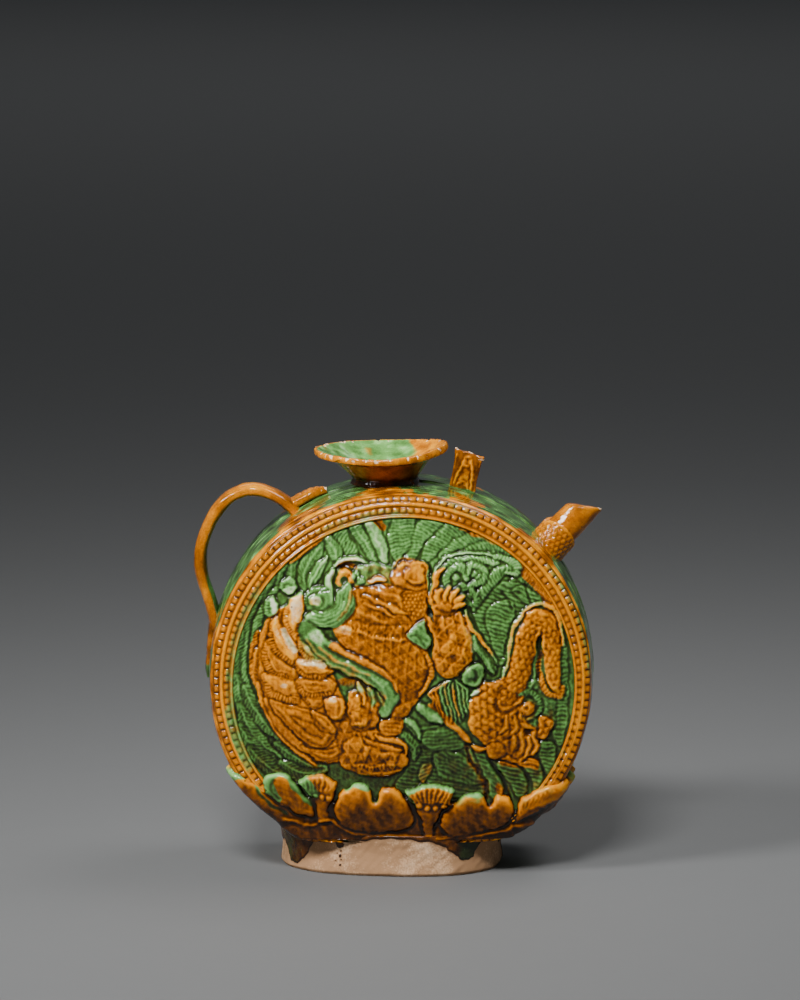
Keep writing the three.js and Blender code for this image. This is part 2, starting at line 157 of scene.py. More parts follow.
def line_field(line: Array, across: Array, up: Array) -> tuple[Array, Array, Array, Array, float]:
    """How places lie to a line.

    Args:
        line: Points of the line.
        across: First coordinate of the places.
        up: Second coordinate of the places.

    Returns:
        Distance, side (1 left, -1 right), length run along the line, whether a place is inside
        the closed line, and the line's length.
    """
    best = np.full(across.shape, np.inf)
    side, along = np.zeros(across.shape), np.zeros(across.shape)
    inside = np.zeros(across.shape, bool)
    run = 0.0
    for (ax, ay), (bx, by) in zip(line[:-1], line[1:]):
        dx, dy = bx - ax, by - ay
        length = math.hypot(dx, dy)
        if length == 0:
            continue
        t = np.clip(((across - ax) * dx + (up - ay) * dy) / length**2, 0, 1)
        gx, gy = across - ax - t * dx, up - ay - t * dy
        gap = np.hypot(gx, gy)
        near = gap < best
        best = np.where(near, gap, best)
        side = np.where(near, np.sign(dx * gy - dy * gx), side)
        along = np.where(near, run + t * length, along)
        if dy != 0:
            inside ^= ((ay > up) != (by > up)) & (across < dx * (up - ay) / dy + ax)
        run += length
    return best, side, along, inside, run


def hollow(texture: Texture, along: Array, across: Array, pitch: float) -> Array:
    """Depth of a texture at places on a form.

    Args:
        texture: Which texture.
        along: Place along the form in millimetres.
        across: Place across the form in millimetres.
        pitch: Width of one barb, tooth, stripe or scale.

    Returns:
        0 on a crest to 1 at the bottom of a groove.
    """
    a, b = along / pitch, across / pitch
    if texture is Texture.BARBS:
        return 1 - np.abs(np.sin(math.pi * (a - 0.8 * np.abs(b)))) ** 0.7
    if texture is Texture.COMB:
        return 1 - np.abs(np.sin(math.pi * a)) ** 0.7
    if texture is Texture.STRIPES:
        return 1 - np.abs(np.cos(math.pi * b)) ** 0.7
    if texture is Texture.FOLDS:
        return 0.5 + 0.5 * np.sin(math.pi * (a + 0.5 * np.sin(1.3 * b)) + 0.7 * b)
    if texture is Texture.DOTS:
        row = np.floor(b)
        return np.clip(2.6 * np.hypot((a + 0.5 * (row % 2)) % 1 - 0.5, b - row - 0.5), 0, 1)
    if texture is Texture.TRIANGLES:
        place = a % 1
        zigzag = np.abs(2 * ((b + 0.5 * (np.floor(a) % 2)) % 1) - 1)
        inner = zigzag - place
        return 1 - np.clip(0.25 + 0.5 * rise(inner, -0.25, 0.15) + 0.35 * hump(inner, 0.13), 0, 1)
    if texture is Texture.SCALES:
        row, crest, free = np.floor(a), np.full(a.shape, 0.25), np.ones(a.shape, bool)
        for back in (1, 0, -1):
            centre = row - back
            cross = (b + 0.5 * (centre % 2)) % 1 - 0.5
            reach = np.hypot((a - centre) / 1.4, cross / 0.6)
            spine = hump(cross, 0.12) * rise(reach, 0.2, 0.6)
            ledge = 0.1 + 0.75 * np.clip(1 - ((reach - 0.5) / 0.5) ** 2, 0, 1) ** 0.7
            shape = ledge + 0.25 * spine * (1 - rise(reach, 0.8, 1))
            crest, free = np.where(free & (reach < 1), shape, crest), free & (reach >= 1)
        return 1 - np.clip(crest, 0, 1)
    return np.zeros(along.shape)


class Clay:
    """Flat field of clay that forms are pressed into, with the glaze that they carry and the shade and
    highlights painted on them.
    """

    groove_width = 0.9
    hollow_width = 3.0
    bleed = 0.6

    def __init__(self, low: Point, high: Point, step: float, unit: float = 1.0, edge: float = 0.5) -> None:
        """Lays out the field.

        Args:
            low: Lowest corner in millimetres.
            high: Highest corner in millimetres.
            step: Width of a cell.
            unit: Millimetres of one unit of the forms' own points.
            edge: Width over which a form rises from what it lies on.
        """
        self.low, self.step, self.unit, self.edge = np.array(low), step, unit, edge
        across, up = np.meshgrid(np.arange(low[0], high[0], step), np.arange(low[1], high[1], step))
        places = np.stack([across, up], -1)
        self.across = across + 0.5 * wobble(places, 5.0, 1) + 0.22 * wobble(places, 1.8, 5)
        self.up = up + 0.5 * wobble(places, 5.0, 2) + 0.22 * wobble(places, 1.8, 6)
        self.relief, self.pale = np.zeros(self.across.shape), np.zeros(self.across.shape)
        self.green = np.ones(self.across.shape)
        self.tone = np.zeros(self.across.shape)

    def spot(self, line: Array, margin: float) -> tuple[slice, slice]:
        """Cells round a line.

        Args:
            line: Points in millimetres.
            margin: How far round them to reach.

        Returns:
            Slices of the rows and columns.
        """
        low = np.floor((line.min(0) - margin - self.low) / self.step).astype(int)
        high = np.ceil((line.max(0) + margin - self.low) / self.step).astype(int) + 1
        low, high = np.maximum(low, 0), np.maximum(high, 0)
        return slice(low[1], high[1]), slice(low[0], high[0])

    def lay(self, spot: tuple[slice, slice], beyond: Array, form: Array, green: float,
            pale: Array | float) -> None:
        """Lays a form over what is there, with a groove round it.

        Args:
            spot: Cells that the form touches.
            beyond: Distance of each cell outside the form's edge, negative inside.
            form: Height of the form.
            green: Share of green glaze on it, or -1 to leave the glaze.
            pale: How pale it is: thin glaze, and in places a painted highlight.
        """
        cover = rise(-beyond, 0, self.edge)
        groove = 0.4 * hump(np.clip(beyond, 0, None), (0.6 + 0.3 * max(green, 0)) * self.edge)
        under = np.maximum(self.relief[spot] - groove * (1 - cover), np.minimum(self.relief[spot], -0.8))
        self.relief[spot] = under * (1 - cover) + form * cover
        if green >= 0:
            self.green[spot] = self.green[spot] * (1 - cover) + green * cover
        self.pale[spot] = self.pale[spot] * (1 - cover) + pale * cover

    def settle(self, soft: float) -> None:
        """Rounds the relief as the glaze does, rates where the glaze pools or thins, and paints shade into
        broad hollows and light onto broad swellings.

        Args:
            soft: Width of the rounding in millimetres.
        """
        self.relief = blurred(self.relief, soft / self.step)
        fine = self.relief - blurred(self.relief, self.groove_width / self.step)
        wide = self.relief - blurred(self.relief, self.hollow_width / self.step)
        # fine is the glaze pooling in grooves and thinning on crests; wide is partly broad glaze pooling and
        # partly painted shade in broad hollows, with painted light on broad swellings
        self.tone = np.tanh(fine / 0.24) * 0.62 + np.tanh(wide / 1.5) * 0.38
        self.green = blurred(self.green, self.bleed / self.step)

    def sample(self, field: Array, across: Array, up: Array) -> Array:
        """Values of a field at places.

        Args:
            field: One of this clay's fields.
            across: First coordinate in millimetres.
            up: Second coordinate in millimetres.

        Returns:
            Values between those of the cells around.
        """
        rows, columns = field.shape
        x = np.clip((across - self.low[0]) / self.step, 0, columns - 1.001)
        y = np.clip((up - self.low[1]) / self.step, 0, rows - 1.001)
        i, j = y.astype(int), x.astype(int)
        s, t = x - j, y - i
        near = field[i, j] * (1 - s) + field[i, j + 1] * s
        return near * (1 - t) + (field[i + 1, j] * (1 - s) + field[i + 1, j + 1] * s) * t


@dataclass(frozen=True)
class Strip:
    """Leaf, feather, tail or band: a form along a line, narrower at its ends."""

    line: tuple[Point, ...]
    half: float
    lift: float = 0.8
    texture: Texture = Texture.BARBS
    pitch: float = 1.9
    depth: float = 0.5
    green: float = 1.0
    pale: float = 0.0
    root: float = 0.6
    tip: float = 0.1
    rib: float = 0.25
    slant: float = 0.0

    def press(self, clay: Clay) -> None:
        """Lays the strip on the clay."""
        line = smooth_line(np.array(self.line) * clay.unit, 8 * len(self.line))
        spot = clay.spot(line, self.half + 2 * clay.edge)
        gap, side, along, _, length = line_field(line, clay.across[spot], clay.up[spot])
        share = along / length
        width = self.half * (1 - (1 - self.root) * np.clip(1 - share / 0.4, 0, 1) ** 2)
        width = width * (1 - (1 - self.tip) * np.clip((share - 0.45) / 0.55, 0, 1) ** 2)
        cross = np.clip(gap / width, 0, 1)
        form = self.lift * (0.3 + 0.7 * np.sqrt(1 - cross**2)) * (0.7 + 0.3 * share)
        comb = hollow(self.texture, along + self.slant * side * gap, side * gap, self.pitch)
        form -= self.depth * comb * rise(cross, 0.02, 0.25 if self.rib else 0.03)
        form += self.rib * hump(gap, 0.5)
        clay.lay(spot, gap - width, form, self.green, self.pale * rise(1 - cross, 0.2, 0.7))


@dataclass(frozen=True)
class Lobe:
    """Rounded form inside a closed outline, with an optional combed rim."""

    outline: tuple[Point, ...]
    lift: float = 1.0
    round: float = 3.0
    texture: Texture = Texture.SMOOTH
    pitch: float = 2.4
    depth: float = 0.5
    turn: float = 0.0
    rim: float = 0.0
    outer: float = 215.0
    green: float = 0.0
    pale: float = 0.0

    def press(self, clay: Clay) -> None:
        """Lays the lobe on the clay."""
        line = smooth_line(np.array(self.outline) * clay.unit, 8 * len(self.outline), closed=True)
        spot = clay.spot(line, 2 * clay.edge)
        across, up = clay.across[spot], clay.up[spot]
        gap, _, along, inside, _ = line_field(line, across, up)
        within = np.where(inside, gap, 0)
        form = self.lift * (0.35 + 0.65 * np.sqrt(1 - (1 - np.clip(within / self.round, 0, 1)) ** 2))
        turn = math.radians(self.turn)
        a = across * math.cos(turn) + up * math.sin(turn)
        b = up * math.cos(turn) - across * math.sin(turn)
        heart = line.mean(0)
        way = np.arctan2(up - heart[1], across - heart[0]) - math.radians(self.outer)
        combed = rise(np.cos(way), -0.35, 0.2) if self.rim else 0.0
        rim = self.rim * combed
        core = rise(within, rim + 0.2, rim + 1.2)
        if self.texture is Texture.RINGS:
            form -= self.depth * hollow(Texture.STRIPES, along, within, self.pitch) * core
        else:
            form -= self.depth * hollow(self.texture, a, b, self.pitch) * core
        comb = hollow(Texture.COMB, along, gap, 1.6) * rise(within, 0.3, 0.9)
        comb = comb * (1 - rise(within, rim - 0.5, rim + 0.3))
        form -= combed * (0.9 * comb + 0.45 * hump(within - rim, 0.4))
        pale = self.pale * rise(within, rim + 0.3, rim + 2)
        clay.lay(spot, np.where(inside, -gap, gap), form, self.green, pale)


@dataclass(frozen=True)
class Ridge:
    """Line raised from what it crosses, or cut into it where the lift is negative, with optional teeth."""

    line: tuple[Point, ...]
    half: float = 0.6
    lift: float = 0.6
    teeth: float = 0.0
    green: float = -1.0

    def press(self, clay: Clay) -> None:
        """Raises the ridge on the clay."""
        line = smooth_line(np.array(self.line) * clay.unit, 8 * len(self.line))
        spot = clay.spot(line, 3 * self.half + abs(self.teeth))
        gap, side, along, _, length = line_field(line, clay.across[spot], clay.up[spot])
        fade = rise(along, 0, 1.5 * self.half) * rise(length - along, 0, 1.5 * self.half)
        clay.relief[spot] += self.lift * hump(gap, self.half) * (0.25 + 0.75 * fade)
        if self.teeth:
            reach = np.where(side * self.teeth > 0, gap / abs(self.teeth), 2)
            tooth = 0.5 - hollow(Texture.COMB, along, gap, 1.7)
            clay.relief[spot] += 0.7 * tooth * (1 - rise(reach, 0.6, 1.0)) * fade
        if self.green >= 0:
            mix = hump(gap, 1.6 * self.half) * fade
            clay.green[spot] += (self.green - clay.green[spot]) * mix


@dataclass(frozen=True)
class Boss:
    """Round bump or hole, with an optional ring cut round it."""

    centre: Point
    radius: float
    lift: float = 1.0
    ring: float = 0.0
    green: float = -1.0
    pale: float = 0.0

    def press(self, clay: Clay) -> None:
        """Raises the boss on the clay."""
        centre = np.array(self.centre) * clay.unit
        spot = clay.spot(centre[None, :], 1.6 * self.radius)
        reach = np.hypot(clay.across[spot] - centre[0], clay.up[spot] - centre[1]) / self.radius
        dome = np.sqrt(np.clip(1 - reach**2, 0, 1))
        clay.relief[spot] += self.lift * dome - self.ring * hump(reach - 1.12, 0.14)
        if self.green >= 0:
            clay.green[spot] += (self.green - clay.green[spot]) * rise(1 - reach, -0.1, 0.2)
        clay.pale[spot] = np.maximum(clay.pale[spot], self.pale * rise(1 - reach, 0, 0.6))


@dataclass(frozen=True)
class Wash:
    """Soft patch of another glaze colour, or of pale that is in places a painted highlight, over whatever
    forms lie there.
    """

    line: tuple[Point, ...]
    half: float
    green: float = -1.0
    pale: float = 0.0

    def press(self, clay: Clay) -> None:
        """Brushes the glaze colour or the painted highlight on the clay."""
        line = smooth_line(np.array(self.line) * clay.unit, 6 * len(self.line))
        spot = clay.spot(line, 1.5 * self.half)
        gap = line_field(line, clay.across[spot], clay.up[spot])[0]
        mix = 1 - rise(gap / self.half, 0.5, 1.2)
        if self.green >= 0:
            clay.green[spot] += (self.green - clay.green[spot]) * mix
        clay.pale[spot] = np.maximum(clay.pale[spot], self.pale * mix)


class Graph:
    """Node tree of one material."""

    def __init__(self, name: str) -> None:
        """Starts a material with a bare shader."""
        self.material = bpy.data.materials.new(name)
        self.material.use_nodes = True
        self.nodes = self.material.node_tree.nodes
        self.links = self.material.node_tree.links
        self.shader = self.nodes["Principled BSDF"]

    def add(self, kind: str, settings: dict | None = None, inputs: dict | None = None) -> bpy.types.Node:
        """Adds a node.

        Args:
            kind: Blender's name of the node type.
            settings: Properties of the node.
            inputs: Values or sockets for its inputs, by name or number.

        Returns:
            The new node.
        """
        node = self.nodes.new(kind)
        for key, value in (settings or {}).items():
            setattr(node, key, value)
        for key, value in (inputs or {}).items():
            if isinstance(value, bpy.types.NodeSocket):
                self.links.new(value, node.inputs[key])
            else:
                node.inputs[key].default_value = value
        return node

    def mark(self, name: str) -> bpy.types.NodeSocket:
        """Value of a point attribute of the mesh."""
        return self.add("ShaderNodeAttribute", {"attribute_name": name}).outputs["Fac"]

    def noise(self, scale: float, detail: float = 4.0, stretch: tuple = (1, 1, 1)) -> bpy.types.NodeSocket:
        """Noise over the object, from 0 to 1.

        Args:
            scale: Bumps per metre.
            detail: How many finer layers it has.
            stretch: Factors of the three coordinates.

        Returns:
            The noise's value socket.
        """
        spot = self.add("ShaderNodeTexCoord").outputs["Object"]
        if stretch != (1, 1, 1):
            spot = self.add("ShaderNodeMapping", None, {"Vector": spot, "Scale": stretch}).outputs[0]
        return self.add("ShaderNodeTexNoise", None,
            {"Vector": spot, "Scale": scale, "Detail": detail}).outputs[0]

    def cells(self, scale: float, feature: str = "F1") -> bpy.types.NodeSocket:
        """Distance in a pattern of irregular cells.

        Args:
            scale: Cells per metre.
            feature: Blender's name of what the distance is measured to.

        Returns:
            The distance's socket.
        """
        spot = self.add("ShaderNodeTexCoord").outputs["Object"]
        cells = self.add("ShaderNodeTexVoronoi", {"feature": feature}, {"Vector": spot, "Scale": scale})
        return cells.outputs["Distance"]

    def vary(self, value: object, noise: object, share: float) -> bpy.types.NodeSocket:
        """A value with a share of a noise round its middle added.

        Args:
            value: Socket or number to vary.
            noise: Socket from 0 to 1.
            share: How much of it to add.

        Returns:
            The result's socket.
        """
        return self.math("MULTIPLY_ADD", self.math("SUBTRACT", noise, 0.5), share, value)

    def math(self, operation: str, first: object, second: object = 0.0,
            third: object = 0.0) -> bpy.types.NodeSocket:
        """Result of a sum on sockets or numbers.

        Args:
            operation: Blender's name of the operation.
            first: First value.
            second: Second value.
            third: Third value, where the operation has one.

        Returns:
            The result's socket.
        """
        return self.add("ShaderNodeMath", {"operation": operation},
            {0: first, 1: second, 2: third}).outputs[0]

    def step(self, value: object, low: float, high: float, top: float = 1.0) -> bpy.types.NodeSocket:
        """Smooth rise of a socket's value from 0 at low to top at high.

        Args:
            value: Socket to rate.
            low: Where the rise starts.
            high: Where the rise ends.
            top: Value at the end.

        Returns:
            The result's socket.
        """
        return self.add(
            "ShaderNodeMapRange", {"interpolation_type": "SMOOTHSTEP"},
            {"Value": value, "From Min": low, "From Max": high, "To Max": top},
        ).outputs[0]

    def colours(self, value: object, stops: tuple) -> bpy.types.NodeSocket:
        """Colour by a value.

        Args:
            value: Socket from 0 to 1.
            stops: Pairs of place and colour.

        Returns:
            The colour's socket.
        """
        node = self.add("ShaderNodeValToRGB", None, {0: value})
        ramp = node.color_ramp
        while len(ramp.elements) < len(stops):
            ramp.elements.new(0.5)
        for element, (place, colour) in zip(ramp.elements, stops):
            element.position = place
            element.color = (*colour, 1.0)
        return node.outputs[0]

    def blend(self, share: object, first: object, second: object, mode: str = "MIX") -> bpy.types.NodeSocket:
        """Mix of two colours.

        Args:
            share: How much of the second.
            first: First colour or socket.
            second: Second colour or socket.
            mode: Blender's name of the blend.

        Returns:
            The colour's socket.
        """
        node = self.add("ShaderNodeMix", {"data_type": "RGBA", "blend_type": mode}, {0: share})
        for index, value in ((6, first), (7, second)):
            if isinstance(value, bpy.types.NodeSocket):
                self.links.new(value, node.inputs[index])
            else:
                node.inputs[index].default_value = (*value, 1.0)
        return node.outputs[2]

    def into(self, name: str, socket: bpy.types.NodeSocket) -> None:
        """Links a socket into the shader."""
        self.links.new(socket, self.shader.inputs[name])


@dataclass(frozen=True)
class SancaiGlaze:
    """Amber and green lead glaze over buff clay, which pools dark in grooves and thins on ridges; the tone
    and pale marks that it reads also carry painted shade and painted highlights.
    """

    name: str
    streaks: float = 0.3
    mottle: float = 0.32
    gloss: float = 0.06
    refraction: float = 1.46
    specular: float = 0.5
    bump: float = 0.24
    bump_depth: float = 0.0006
    broad_scale: float = 55.0
    mottle_scale: float = 260.0
    speckle_scale: float = 1100.0
    streak_scale: float = 160.0
    spot_scale: float = 170.0
    crackle_scale: float = 420.0
    spot_colour: tuple = (0.03, 0.012, 0.005)
    amber: tuple = ((0.0, (0.010, 0.005, 0.003)), (0.16, (0.042, 0.012, 0.001)),
        (0.28, (0.15, 0.042, 0.001)), (0.40, (0.36, 0.10, 0.0)), (0.52, (0.64, 0.205, 0.0)),
        (0.65, (0.92, 0.345, 0.0)), (0.80, (1.0, 0.45, 0.0)), (1.0, (1.0, 0.66, 0.16)))
    green: tuple = ((0.0, (0.008, 0.009, 0.004)), (0.18, (0.022, 0.032, 0.008)),
        (0.31, (0.044, 0.090, 0.018)), (0.43, (0.078, 0.20, 0.042)), (0.55, (0.145, 0.36, 0.085)),
        (0.67, (0.27, 0.55, 0.165)), (0.82, (0.48, 0.71, 0.32)), (1.0, (0.76, 0.84, 0.64)))
    thin: tuple = ((0.1, (0.04, 0.03, 0.012)), (0.35, (0.20, 0.15, 0.07)), (0.55, (0.52, 0.42, 0.27)),
        (0.8, (0.84, 0.76, 0.62)))
    clay: tuple = ((0.36, (0.42, 0.23, 0.11)), (0.44, (0.62, 0.38, 0.21)), (0.52, (0.76, 0.52, 0.32)),
        (0.64, (0.86, 0.64, 0.43)))

    def material(self) -> bpy.types.Material:
        """Builds the glaze's material."""
        graph = Graph(self.name)
        broad, mottle = graph.noise(self.broad_scale, 3.0), graph.noise(self.mottle_scale, 5.0)
        speckle = graph.noise(self.speckle_scale, 3.0)
        streak = graph.noise(self.streak_scale, 3.0, (1.0, 1.0, 0.22))
        # The tone mark holds the glaze's pooling and thinning, and also painted shade in broad hollows and in
        # shaded places.
        tone = graph.math("MULTIPLY_ADD", graph.mark("tone"), 0.42, 0.5)
        shares = ((broad, 0.83 * self.mottle), (mottle, self.mottle), (speckle, 0.7 * self.mottle),
            (streak, self.streaks))
        for source, share in shares:
            tone = graph.vary(tone, source, share)
        # The pale mark is thin glaze and, in places, a painted highlight; it lightens the tone and mixes in
        # the thin colours.
        pale = graph.mark("pale")
        tone = graph.math("MULTIPLY", graph.math("MULTIPLY_ADD", pale, 0.42, tone), 0.8)
        edge = graph.vary(graph.mark("green"), mottle, 0.55)
        colour = graph.blend(
            graph.step(edge, 0.3, 0.7), graph.colours(tone, self.amber), graph.colours(tone, self.green)
        )
        worn = graph.vary(graph.vary(pale, mottle, 1.1), speckle, 0.7)
        colour = graph.blend(graph.step(worn, 0.45, 1.2, 0.55), colour, graph.colours(tone, self.thin))
        spots = graph.cells(self.spot_scale)
        dark = graph.math("MULTIPLY", graph.step(spots, 0.13, 0.05), graph.step(mottle, 0.5, 0.62, 0.75))
        colour = graph.blend(dark, colour, self.spot_colour)
        bare = graph.step(graph.vary(graph.mark("clay"), mottle, 0.6), 0.42, 0.58)
        earth = graph.math("ADD", graph.math("MULTIPLY", broad, 0.7), graph.math("MULTIPLY", speckle, 0.3))
        earth = graph.colours(graph.math("MULTIPLY_ADD", graph.mark("tone"), 0.25, earth), self.clay)
        graph.into("Base Color", graph.blend(bare, colour, earth))
        shine = graph.math("MULTIPLY_ADD", mottle, 0.08, self.gloss - 0.04)
        graph.into("Roughness", graph.math("MULTIPLY_ADD", bare, 0.6, shine))
        crackle = graph.cells(self.crackle_scale, "DISTANCE_TO_EDGE")
        height = graph.math("MULTIPLY", mottle, 0.3)
        height = graph.math("MULTIPLY_ADD", speckle, graph.math("MULTIPLY_ADD", bare, 0.6, 0.03), height)
        height = graph.math("MULTIPLY_ADD", graph.step(crackle, 0.0, 0.05), 0.03, height)
        bump = graph.add(
            "ShaderNodeBump", None, {"Strength": self.bump, "Distance": self.bump_depth, "Height": height}
        )
        graph.into("Normal", bump.outputs[0])
        graph.shader.inputs["IOR"].default_value = self.refraction
        graph.shader.inputs["Specular IOR Level"].default_value = self.specular
        return graph.material


@dataclass(frozen=True)
class PaleFloor:
    """Matte pale paper that the ewer stands on."""

    colour: tuple = (0.135, 0.137, 0.137)

    def material(self) -> bpy.types.Material:
        """Builds the floor's material."""
        graph = Graph("pale_floor")
        grain = graph.noise(60.0, 2.0)
        graph.into("Base Color",
            graph.blend(graph.math("MULTIPLY", grain, 0.08), self.colour, (0.18, 0.18, 0.18)))
        graph.shader.inputs["Roughness"].default_value = 0.8
        return graph.material


@dataclass
class Mark:
    """What the glaze does on a piece, one value a vertex; the tone mark also carries painted shade and the
    pale mark painted highlights.
    """

    green: Array
    tone: Array
    pale: Array
    clay: Array

    @staticmethod
    def plain(shape: tuple[int, ...], green: float = 0.0) -> "Mark":
        """Marks of one even glaze.

        Args:
            shape: Shape of the piece's grid.
            green: Share of green in it.

        Returns:
            The marks.
        """
        return Mark(np.full(shape, green), np.zeros(shape), np.zeros(shape), np.zeros(shape))


def make_piece(name: str, places: Array, faces: list, mark: Mark, chart: Array) -> bpy.types.Object:
    """Makes an object from vertices and faces.

    Args:
        name: Name of the piece.
        places: Vertices in millimetres.
        faces: Tuples of vertex numbers.
        mark: Glaze marks of the vertices.
        chart: Place of each vertex on the piece's flat chart.

    Returns:
        The new object, smooth shaded, facing outwards.
    """
    mesh = bpy.data.meshes.new(name)
    points = places.reshape(-1, 3) * MM
    mesh.from_pydata(points, [], faces)
    mesh.validate()
    mesh.shade_smooth()
    for key in ("green", "tone", "pale", "clay"):
        values = np.asarray(getattr(mark, key), np.float32).ravel()
        full = np.zeros(len(mesh.vertices), np.float32)
        full[: len(values)] = values
        mesh.attributes.new(key, "FLOAT", "POINT").data.foreach_set("value", full)
    corners = np.empty(len(mesh.loops), np.int32)
    mesh.loops.foreach_get("vertex_index", corners)
    layer = mesh.uv_layers.new(name="OFBake")
    layer.data.foreach_set("uv", chart.reshape(-1, 2)[corners].astype(np.float32).ravel())
    piece = bpy.data.objects.new(name, mesh)
    bpy.context.scene.collection.objects.link(piece)
    if enclosed_volume(mesh) < 0:
        mesh.flip_normals()
    return piece


def enclosed_volume(mesh: bpy.types.Mesh) -> float:
    """Signed volume inside a mesh, to tell which way it faces."""
    mesh.calc_loop_triangles()
    points = np.empty(len(mesh.vertices) * 3)
    mesh.vertices.foreach_get("co", points)
    corners = np.empty(len(mesh.loop_triangles) * 3, np.int32)
    mesh.loop_triangles.foreach_get("vertices", corners)
    a, b, c = np.moveaxis(points.reshape(-1, 3)[corners.reshape(-1, 3)], 1, 0)
    return float(np.einsum("ij,ij->i", a, np.cross(b, c)).sum()) / 6


def swept_piece(name: str, places: Array, ring: bool, mark: Mark) -> bpy.types.Object:
    """Piece from closed sections along a path.

    Args:
        name: Name of the piece.
        places: Vertices in millimetres: path, section, coordinates.
        ring: Whether the path runs back to its start.
        mark: Glaze marks of the same grid.

    Returns:
        The new object.
    """
    steps, sides = places.shape[:2]
    index = np.arange(steps * sides).reshape(steps, sides)
    here = index if ring else index[:-1]
    there = np.roll(index, -1, 0) if ring else index[1:]
    quads = np.stack([here, there, np.roll(there, -1, 1), np.roll(here, -1, 1)], -1).reshape(-1, 4)
    faces = quads.tolist()
    if not ring:
        faces += [index[0].tolist(), index[-1][::-1].tolist()]
    chart = np.stack(np.meshgrid(
        np.linspace(0.01, 0.99, steps), np.linspace(0.01, 0.99, sides), indexing="ij"
    ), -1)
    return make_piece(name, places, faces, mark, chart)


@dataclass(frozen=True)
class FlaskForm:
    """Shape that the whole flask is thrown on: its outline in front view and its depth."""

    radius: float = 94.8
    half_depth: float = 44.0
    middle_x: float = 1.58
    middle_z: float = 98.0
    square_share: float = 0.013
    sag_share: float = 0.018
    floor: float = 17.05
    deepest: float = 45.85
    seam_gap: float = 0.02
    half_width: float = 101.4
    top: float = 211.7
    profile: tuple[Point, ...] = (
        (0, 1), (0.13, 0.995), (0.25, 0.98), (0.36, 0.96), (0.46, 0.935), (0.55, 0.908), (0.64, 0.88),
        (0.73, 0.85), (0.8, 0.83), (0.87, 0.813), (0.93, 0.803), (0.96, 0.79), (0.978, 0.75),
        (0.986, 0.68), (0.992, 0.53), (0.997, 0.3), (1.0, 0.0),
    )

    def outline(self, angle: Array) -> Array:
        """Distance from the middle to the outline, at angles from the top."""
        square = self.square_share * (1 - np.cos(4 * angle)) / 2
        return self.radius * (1 + square + self.sag_share * (1 - np.cos(angle)) / 2)

    def section(self, start: Array, rows: int) -> tuple[Array, Array, Array, Array]:
        """Evenly spaced places down the face and the side wall to the seam.

        Args:
            start: Share of the outline's radius where each column starts.
            rows: Number of places in a column.

        Returns:
            Radius shares, depths in millimetres, and the outward direction in these two.
        """
        curve = smooth_line(np.array(self.profile), 1200)
        span = np.column_stack([curve[:, 0] * self.radius, curve[:, 1] * self.half_depth])
        step = np.diff(span, axis=0)
        arc = np.concatenate([[0], np.cumsum(np.hypot(*step.T))])
        way = np.gradient(span, axis=0)
        way = np.column_stack([blurred(np.pad(w, 60, "edge")[None], 9)[0][60:-60]
            for w in (-way[:, 1], way[:, 0])])
        way /= np.linalg.norm(way, axis=1)[:, None]
        first = np.interp(start, curve[:, 0], arc)
        at = first[:, None] + (arc[-1] - first)[:, None] * np.linspace(0, 1, rows)[None, :]
        return tuple(np.interp(at, arc, values) for values in (curve[:, 0], span[:, 1], way[:, 0], way[:, 1]))

    def depth(self, share: Array) -> Array:
        """Depth of the face at shares of the outline's radius."""
        curve = smooth_line(np.array(self.profile), 1200)
        return np.interp(share, curve[:, 0], curve[:, 1] * self.half_depth)

    def place(self, angle: Array, reach: Array, depth: Array, back: bool) -> Array:
        """Vertices from polar places on a face.

        Args:
            angle: Angle from the top, clockwise as the face is seen.
            reach: Distance from the middle in front view.
            depth: Distance from the seam's plane.
            back: Whether the face is the back one, turned half round.

        Returns:
            Coordinates in the frame, in millimetres.
        """
        left = np.sin(angle) * (-1 if back else 1) < 0
        turn = np.abs((angle + math.pi) % math.tau - math.pi)
        nip = hump(turn - np.where(left, 2.42, 2.7), np.where(left, 0.25, 0.14))
        reach = reach - 3.6 * nip * np.clip(depth / self.half_depth, 0, 1) ** 2 * (reach / self.radius) ** 6
        x, y = reach * np.sin(angle), -depth
        if back:
            x, y = -x, -y
        return np.stack([self.middle_x + x, y, self.middle_z + reach * np.cos(angle)], -1)


FORM = FlaskForm()


@dataclass(frozen=True)
class Mass:
    """Broad swelling under a group of forms."""

    line: tuple[Point, ...]
    across: float
    up: float
    lift: float

    def height(self, clay: Clay) -> Array:
        """Height of the swelling over the whole clay."""
        line = np.array(self.line) * clay.unit
        if len(line) == 1:
            reach = np.hypot((clay.across - line[0, 0]) / self.across, (clay.up - line[0, 1]) / self.up)
        else:
            reach = line_field(smooth_line(line, 24), clay.across, clay.up)[0] / self.across
        return self.lift * np.sqrt(np.clip(1 - reach**2, 0, 1))


